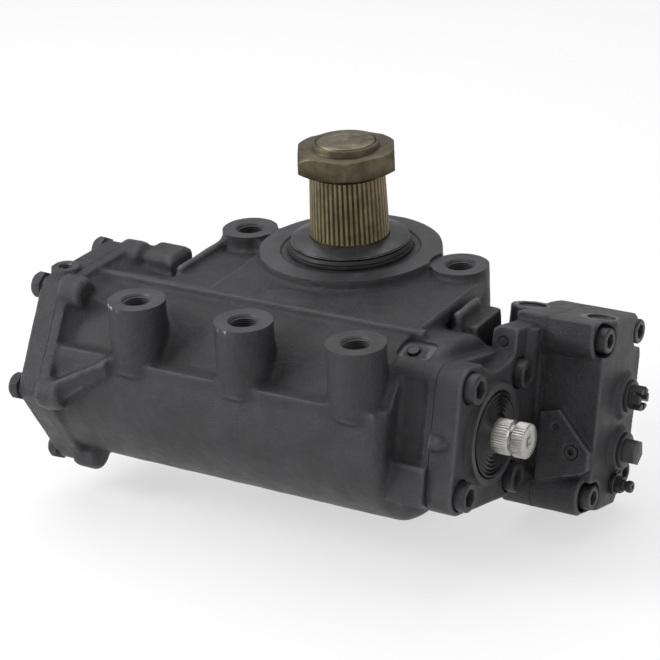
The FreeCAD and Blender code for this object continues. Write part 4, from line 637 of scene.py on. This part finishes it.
# The edge of the pressed gasket sheet is a dull dark grey line between the block's halves.
GASKET_SHEET = nitrile("pressed_gasket_sheet", "202022", "2a2a2b", roughness=0.72)
for name in ("valve_block_screws", "spool_plug"):
    eased(name, "root", BLACK_SCREW)
LIMITER_AXIS = valve_axis(*LIMITER_PLACE)
limiter_bm = bmesh.new()
turned(limiter_bm, [(0, 200), (7.4, 200), (7.4, 217), (11.6, 217), (12, 217.4), (12, 219),
                    (11.6, 219.4), (9, 219.8), (9, 227.2), (8.2, 228.2), (4.6, 228.2), (4.6, 222),
                    (0, 222)], LIMITER_AXIS)
limiter = as_object("limiter_adjuster_slotted", limiter_bm, BLACK_SCREW)


def limiter_slot(degrees):
    """Draws one of the three slots across the limiter screw's head."""
    place = LIMITER_AXIS @ Matrix.Rotation(math.radians(degrees), 4, "Z")
    return lambda bm: block(bm, (-13.0, -1.3, 222.6), (13.0, 1.3, 232.0), place)


cut_away(limiter, [limiter_slot(degrees) for degrees in (0, 60, 120)])
shade(limiter.data, 35.0)
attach(limiter, "root")
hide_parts("limiter_adjuster")

BLEED_AXIS = valve_axis(110.0, -46.0)
bleed_bm = bmesh.new()
turned(bleed_bm, [(0, 203.2), (3.9, 203.2), (3.9, 212.1), (7.6, 212.1), (8, 212.6), (8, 215),
                  (7.4, 215.6), (0, 215.6)], BLEED_AXIS)
bmesh.ops.create_cone(bleed_bm, cap_ends=True, segments=6, radius1=6.4 * MM, radius2=6.4 * MM,
                      depth=4.6 * MM, matrix=BLEED_AXIS @ Matrix.Translation((0, 0, 217.6 * MM)))
turned(bleed_bm, [(0, 219), (4.3, 219), (4.3, 221.2), (3.6, 221.8), (3.6, 223), (4.4, 223.8),
                  (4.4, 226.6), (3.8, 227.4), (1.4, 227.4), (1.4, 225.5), (0, 225.5)], BLEED_AXIS)
bleed = as_object("bleed_screw_hexagon", bleed_bm, BLACK_SCREW)
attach(bleed, "root")
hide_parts("bleed_screw")
eased("port_plugs", "root", MACHINED_PAINT, width=0.2)
dress(BLACK_SCREW, "front_pad_plug")
dress(GASKET_SHEET, "block_gasket")

# Sector cover: the round lid under the sector chamber, cast and painted iron, held by six cap
# screws. The lash adjuster's screw and lock nut stand in its middle.
def sector_cover_fill(bm):
    turned(bm, [(0, -150), (82, -150), (82, -136), (0, -136)], SECTOR_AXIS)


def sector_cover_faces(bm):
    turned(bm, [(0, -154), (31.5, -154), (31.5, -141), (90, -141), (90, -120), (0, -120)], SECTOR_AXIS)


cast_skin("sector_cover_casting", "sector_cover", sector_cover_fill, [sector_cover_faces],
          voxel=1.5, rounding=3, lump=0.2)
eased("sector_cover_screws", "root", BLACK_SCREW)
eased("adjuster_lock_nut", "root", BLACK_SCREW)
dress(SEAL_RUBBER, "sector_cover_seal")

# Sector shaft: forged steel, turned, phosphated olive brown and oiled. The 48 serrations of its
# tapered end are cut as narrow grooves between flat crests, and a nut holds the pitman arm on.
TEETH = 48
GROOVE = 1.75
CREST_SHARE = 0.48
FLANK_SHARE = 0.42

# Phosphate makes the steel a warm olive brown with a dull metal sheen. On the shaft's end it is
# drawn paler and shinier.
OLIVE = steel("phosphated_steel", "4c4435", "655b48", "352f25", roughness=0.38, metallic=0.75)
# A paler, shinier copy of the olive steel, for the shaft's end.
SHAFT_END = steel("paler_phosphated_steel", "5c5341", "857b68", "3e3527", roughness=0.32, metallic=0.8)


def groove_share(point):
    """How deep a point of the serration lies, from 0 on a crest to 1 in a groove."""
    around = SECTOR_AXIS.inverted() @ point
    turn = math.atan2(around.y, around.x) / (2 * math.pi) * TEETH
    return min(1.0, max(0.0, (abs(turn % 1 - 0.5) * 2 - CREST_SHARE) / FLANK_SHARE))


def grooved_phosphate():
    """Phosphated teeth: crests rubbed to a light tan, grooves drawn darker the deeper they lie. The
    cutter's marks are drawn 0.7 mm wide, which is coarser than they are, so that they show."""
    metal, tree, shader, place = new_material("phosphated_serration")
    groove = add(tree, "Attribute", {}, attribute_name="groove")["Fac"]
    groove = add(tree, "MapRange", {"Value": groove, "From Min": 0.15, "From Max": 0.8})["Result"]
    patch = add(tree, "TexNoise", {"Vector": place, "Scale": 1 / (12 * MM), "Detail": 4.0,
                                   "Roughness": 0.6})["Fac"]
    patch = add(tree, "MapRange", {"Value": patch, "From Min": 0.35, "From Max": 0.65})["Result"]
    crest = add(tree, "Mix", {0: patch, 6: linear("63583f"), 7: linear("867a5a")}, data_type="RGBA")[2]
    # The grooves are drawn darker the deeper they lie.
    colour = add(tree, "Mix", {0: groove, 6: crest, 7: linear("241d13")}, data_type="RGBA")[2]
    rough = add(tree, "MapRange", {"Value": patch, "To Min": 0.34, "To Max": 0.48})["Result"]
    mark = add(tree, "TexNoise", {"Vector": place, "Scale": 1 / (0.7 * MM), "Detail": 2.0})["Fac"]
    mark = add(tree, "Bump", {"Height": mark, "Distance": 0.06 * MM, "Strength": 0.5})["Normal"]
    wire(shader, {"Base Color": colour, "Roughness": rough, "Metallic": 0.6, "Normal": mark})
    return metal


serration_bm = bmesh.new()
turned(serration_bm, [(29.5, 14.2), (29.35, 14.7), (27.8, 60.5), (26.2, 60.7)], SECTOR_AXIS,
       steps=TEETH * 12)
depths = [groove_share(vertex.co) for vertex in serration_bm.verts]
for vertex, depth in zip(serration_bm.verts, depths):
    out = vertex.co - SECTOR_AXIS.translation
    out.z = 0
    vertex.co -= out.normalized() * (depth * GROOVE * MM)
serration = as_object("sector_serration", serration_bm, grooved_phosphate(), smooth=60.0)
serration.data.attributes.new("groove", "FLOAT", "POINT").data.foreach_set("value", depths)
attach(serration, "sector")

end_bm = bmesh.new()
turned(end_bm, [(0, 84.56), (1.0, 84.62), (2.2, 85.0), (12.6, 85.0), (12.9, 84.8), (13.3, 84.8),
                (13.6, 85.0), (20.0, 85.0), (20.9, 84.7), (22.0, 83.4), (22.1, 82.0)],
       SECTOR_AXIS, steps=96)
shaft_end = as_object("sector_end", end_bm, SHAFT_END, smooth=30.0)
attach(shaft_end, "sector")
dress(OLIVE, "sector_shaft")
eased("pitman_nut", "sector", OLIVE, width=0.6)

# Dust disc and sector seal: a turned and painted steel disc rides on the shaft over the lip of
# the rubber seal, which a steel ring holds in the housing.

# The disc is a smooth dark grey, its rim bare grey metal, hardened steel a brownish black, and
# the dust on the seal makes its rubber dull.
DISC = steel("turned_disc_steel", "343437", "444447", "28282a", roughness=0.34, metallic=0.35)
GROUND = steel("ground_steel", "8e8d8a", "a5a4a0", "6f6d69", roughness=0.3, metallic=0.9)
DARK_STEEL = steel("hardened_dark_steel", "3f3a33", "544d43", "2d2a26", roughness=0.36, metallic=0.7)
DUSTY_RUBBER = nitrile("dusty_nitrile_rubber", "141415", "202021", roughness=0.5)
eased("dust_disc", "sector", DISC, width=0.3, flat=1.0)
rim_bm = bmesh.new()
turned(rim_bm, [(43.4, 8.6), (43.9, 8.75), (43.9, 9.15), (43.4, 9.3)], SECTOR_AXIS,
       steps=96, ring=True)
rim = as_object("dust_disc_rim", rim_bm, GROUND)
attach(rim, "sector")
lip_bm = bmesh.new()
turned(lip_bm, [(31.8, -6.9), (51.4, -6.9), (51.4, -1), (47.8, -1), (47.2, 0.9), (46.1, 1.3),
                (46.6, 2.1), (46.1, 3.9), (45.0, 4.3), (45.4, 5.1), (44.6, 6.9), (43, 7.6),
                (40.7, -1), (37.7, 3.2), (35.7, 3.2), (34.5, -1), (31.8, -1)], SECTOR_AXIS,
       steps=96, ring=True)
lip = as_object("sector_seal_lipped", lip_bm, DUSTY_RUBBER, smooth=50.0)
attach(lip, "root")
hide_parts("sector_seal")
dress(BLACK_SCREW, "seal_retaining_ring")
dress(DARK_STEEL, "adjuster_screw")

# Input shaft: bright ground steel with 40 fine serrations and a groove for the joint's bolt.
# The torsion bar passes through it, and a ridged rubber ring keeps dust off the lip seal.
SPLINES = 40
SHAFT_R = 12.5
SPLINE_DEPTH = 0.42
RIDGE_WIDTH = 2.9
RIDGE_HEIGHT = 1.05

# Ground steel is the one bright thing on the gear: pale grey, with a soft reflection.
BRIGHT = steel("ground_bright_steel", "9e9d99", "b8b7b3", "84817c",
               roughness=0.3, metallic=0.85, tool_mark=0.5, depth=0.03)
input_bm = bmesh.new()
turned(input_bm, [(0, 158.4), (5.05, 158.4), (5.05, 120.3), (15, 120.3), (15, 156.5), (12.2, 157.8),
                  (SHAFT_R, 158.2), (SHAFT_R, 179.9), (12.1, 180.3), (10.9, 181.5), (10.9, 183.1),
                  (SHAFT_R, 184.4), (SHAFT_R, 191.9), (12.2, 192.7), (11.3, 193.3), (3.2, 193.3),
                  (2.4, 192.9), (0, 190.9)], WORM_AXIS, steps=SPLINES * 8)
for vertex in input_bm.verts:
    out = vertex.co - WORM_AXIS.translation
    out.x = 0
    if abs(out.length - SHAFT_R * MM) < 0.01 * MM:
        turn = math.atan2(out.z, out.y) / (2 * math.pi) * SPLINES
        vertex.co -= out.normalized() * (abs(turn % 1 - 0.5) * 2 * SPLINE_DEPTH * MM)
input_shaft = as_object("input_shaft_bright", input_bm, BRIGHT, smooth=42.0)
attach(input_shaft, "input")
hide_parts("input_shaft")

# Half the dust seal's section: its outer edge, four and a half ridges going inwards, and its lip.
ridges = [(12.56, 164.6), (30.0, 164.6), (30.0, 167.6), (29.6, 168.3), (28.8, 168.5), (28.2, 168.2),
          (27.6, 167.2)]
for step in range(46):
    wave = 0.1 * step
    rise = RIDGE_HEIGHT * math.sin(math.pi * wave) ** 2
    ridges.append((27.6 - RIDGE_WIDTH * wave, 167.1 + rise + 0.08 * wave))
ridges += [(14.2, 167.6), (13.2, 168.9), (12.56, 169.2)]
seal_bm = bmesh.new()
turned(seal_bm, ridges, WORM_AXIS, steps=96, ring=True)
dust_seal = as_object("dust_seal_ridged", seal_bm, SEAL_RUBBER, smooth=50.0)
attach(dust_seal, "input")
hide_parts("input_dust_seal")
dress(SEAL_RUBBER, "input_lip_seal")

# Inner works: the rack piston on its worm with balls and return tube, the bearings, the torsion
# bar, and the spool and poppet, all of ground or hardened steel. The two coil springs are copied
# from their solids as they stand.
dress(GROUND, "upper_sector_bearing", "lower_sector_bearing", "rack_piston", "ball_return_tube",
      "recirculating_balls", "worm_shaft", "inner_thrust_bearing", "outer_thrust_bearing", "input_bearing",
      "torsion_bar", "torsion_pin", "changeover_spool", "limiter_poppet")
dress(DARK_STEEL, "piston_ring")
for name, slide in (("spool_spring", "spool_slide"), ("limiter_spring", "poppet_slide")):
    coil = as_object(name + "_coil", solid_of(name), DARK_STEEL)
    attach(coil, "root")
    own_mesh(coil)
    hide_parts(name)

# Studio: a white paper floor under the gear, four wide soft lamps and a white room. The camera,
# and what is glossy or clear, see the paper whiter than it is lit, and it keeps the gear's shadow.
floor_bm = bmesh.new()
bmesh.ops.create_grid(floor_bm, x_segments=1, y_segments=1, size=6.0,
                      matrix=Matrix.Translation((0, 0, cad_size[0][2] - 0.4 * MM)))
paper, tree, shader = new_material("white_paper")[:3]
wire(shader, {"Base Color": linear("f4f4f3"), "Roughness": 0.9})
glow = add(tree, "Emission", {"Color": (1.0, 1.0, 1.0, 1.0), "Strength": 1.0})["Emission"]
rays = add(tree, "LightPath", {})
seen = rays["Is Camera Ray"]
for kind in ("Is Glossy Ray", "Is Transmission Ray"):
    seen = add(tree, "Math", {0: seen, 1: rays[kind]}, operation="MAXIMUM")["Value"]
seen = add(tree, "MapRange", {"Value": seen, "To Max": 0.6})["Result"]
page = add(tree, "MixShader", {0: seen, 1: shader.outputs["BSDF"], 2: glow})["Shader"]
wire(tree.nodes["Material Output"], {"Surface": page})
floor = as_object("floor", floor_bm, paper)
GEAR_MIDDLE = Vector((0.0, 0.0, -0.06))


def soft_lamp(name, at, size, power):
    """A square lamp that shines at the middle of the gear. Its place and size are in metres."""
    light = bpy.data.lights.new(name, "AREA")
    light.size = size
    light.energy = power
    item = bpy.data.objects.new(name, light)
    bpy.context.collection.objects.link(item)
    item.location = at
    item.rotation_euler = (GEAR_MIDDLE - Vector(at)).to_track_quat("-Z", "Y").to_euler()


soft_lamp("top_lamp", (-0.35, 0.45, 1.6), size=2.2, power=24.0)
soft_lamp("left_lamp", (-1.5, -1.0, 0.9), size=0.9, power=30.0)
soft_lamp("right_lamp", (1.7, -0.5, 0.7), size=0.9, power=5.0)
soft_lamp("front_lamp", (0.3, -2.0, 0.5), size=1.3, power=4.0)
world = bpy.data.worlds.new("studio")
bpy.context.scene.world = world
world.use_nodes = True
wire(world.node_tree.nodes["Background"], {"Color": (1.0, 1.0, 1.0, 1.0), "Strength": 0.38})
bpy.context.scene.view_settings.view_transform = "Standard"
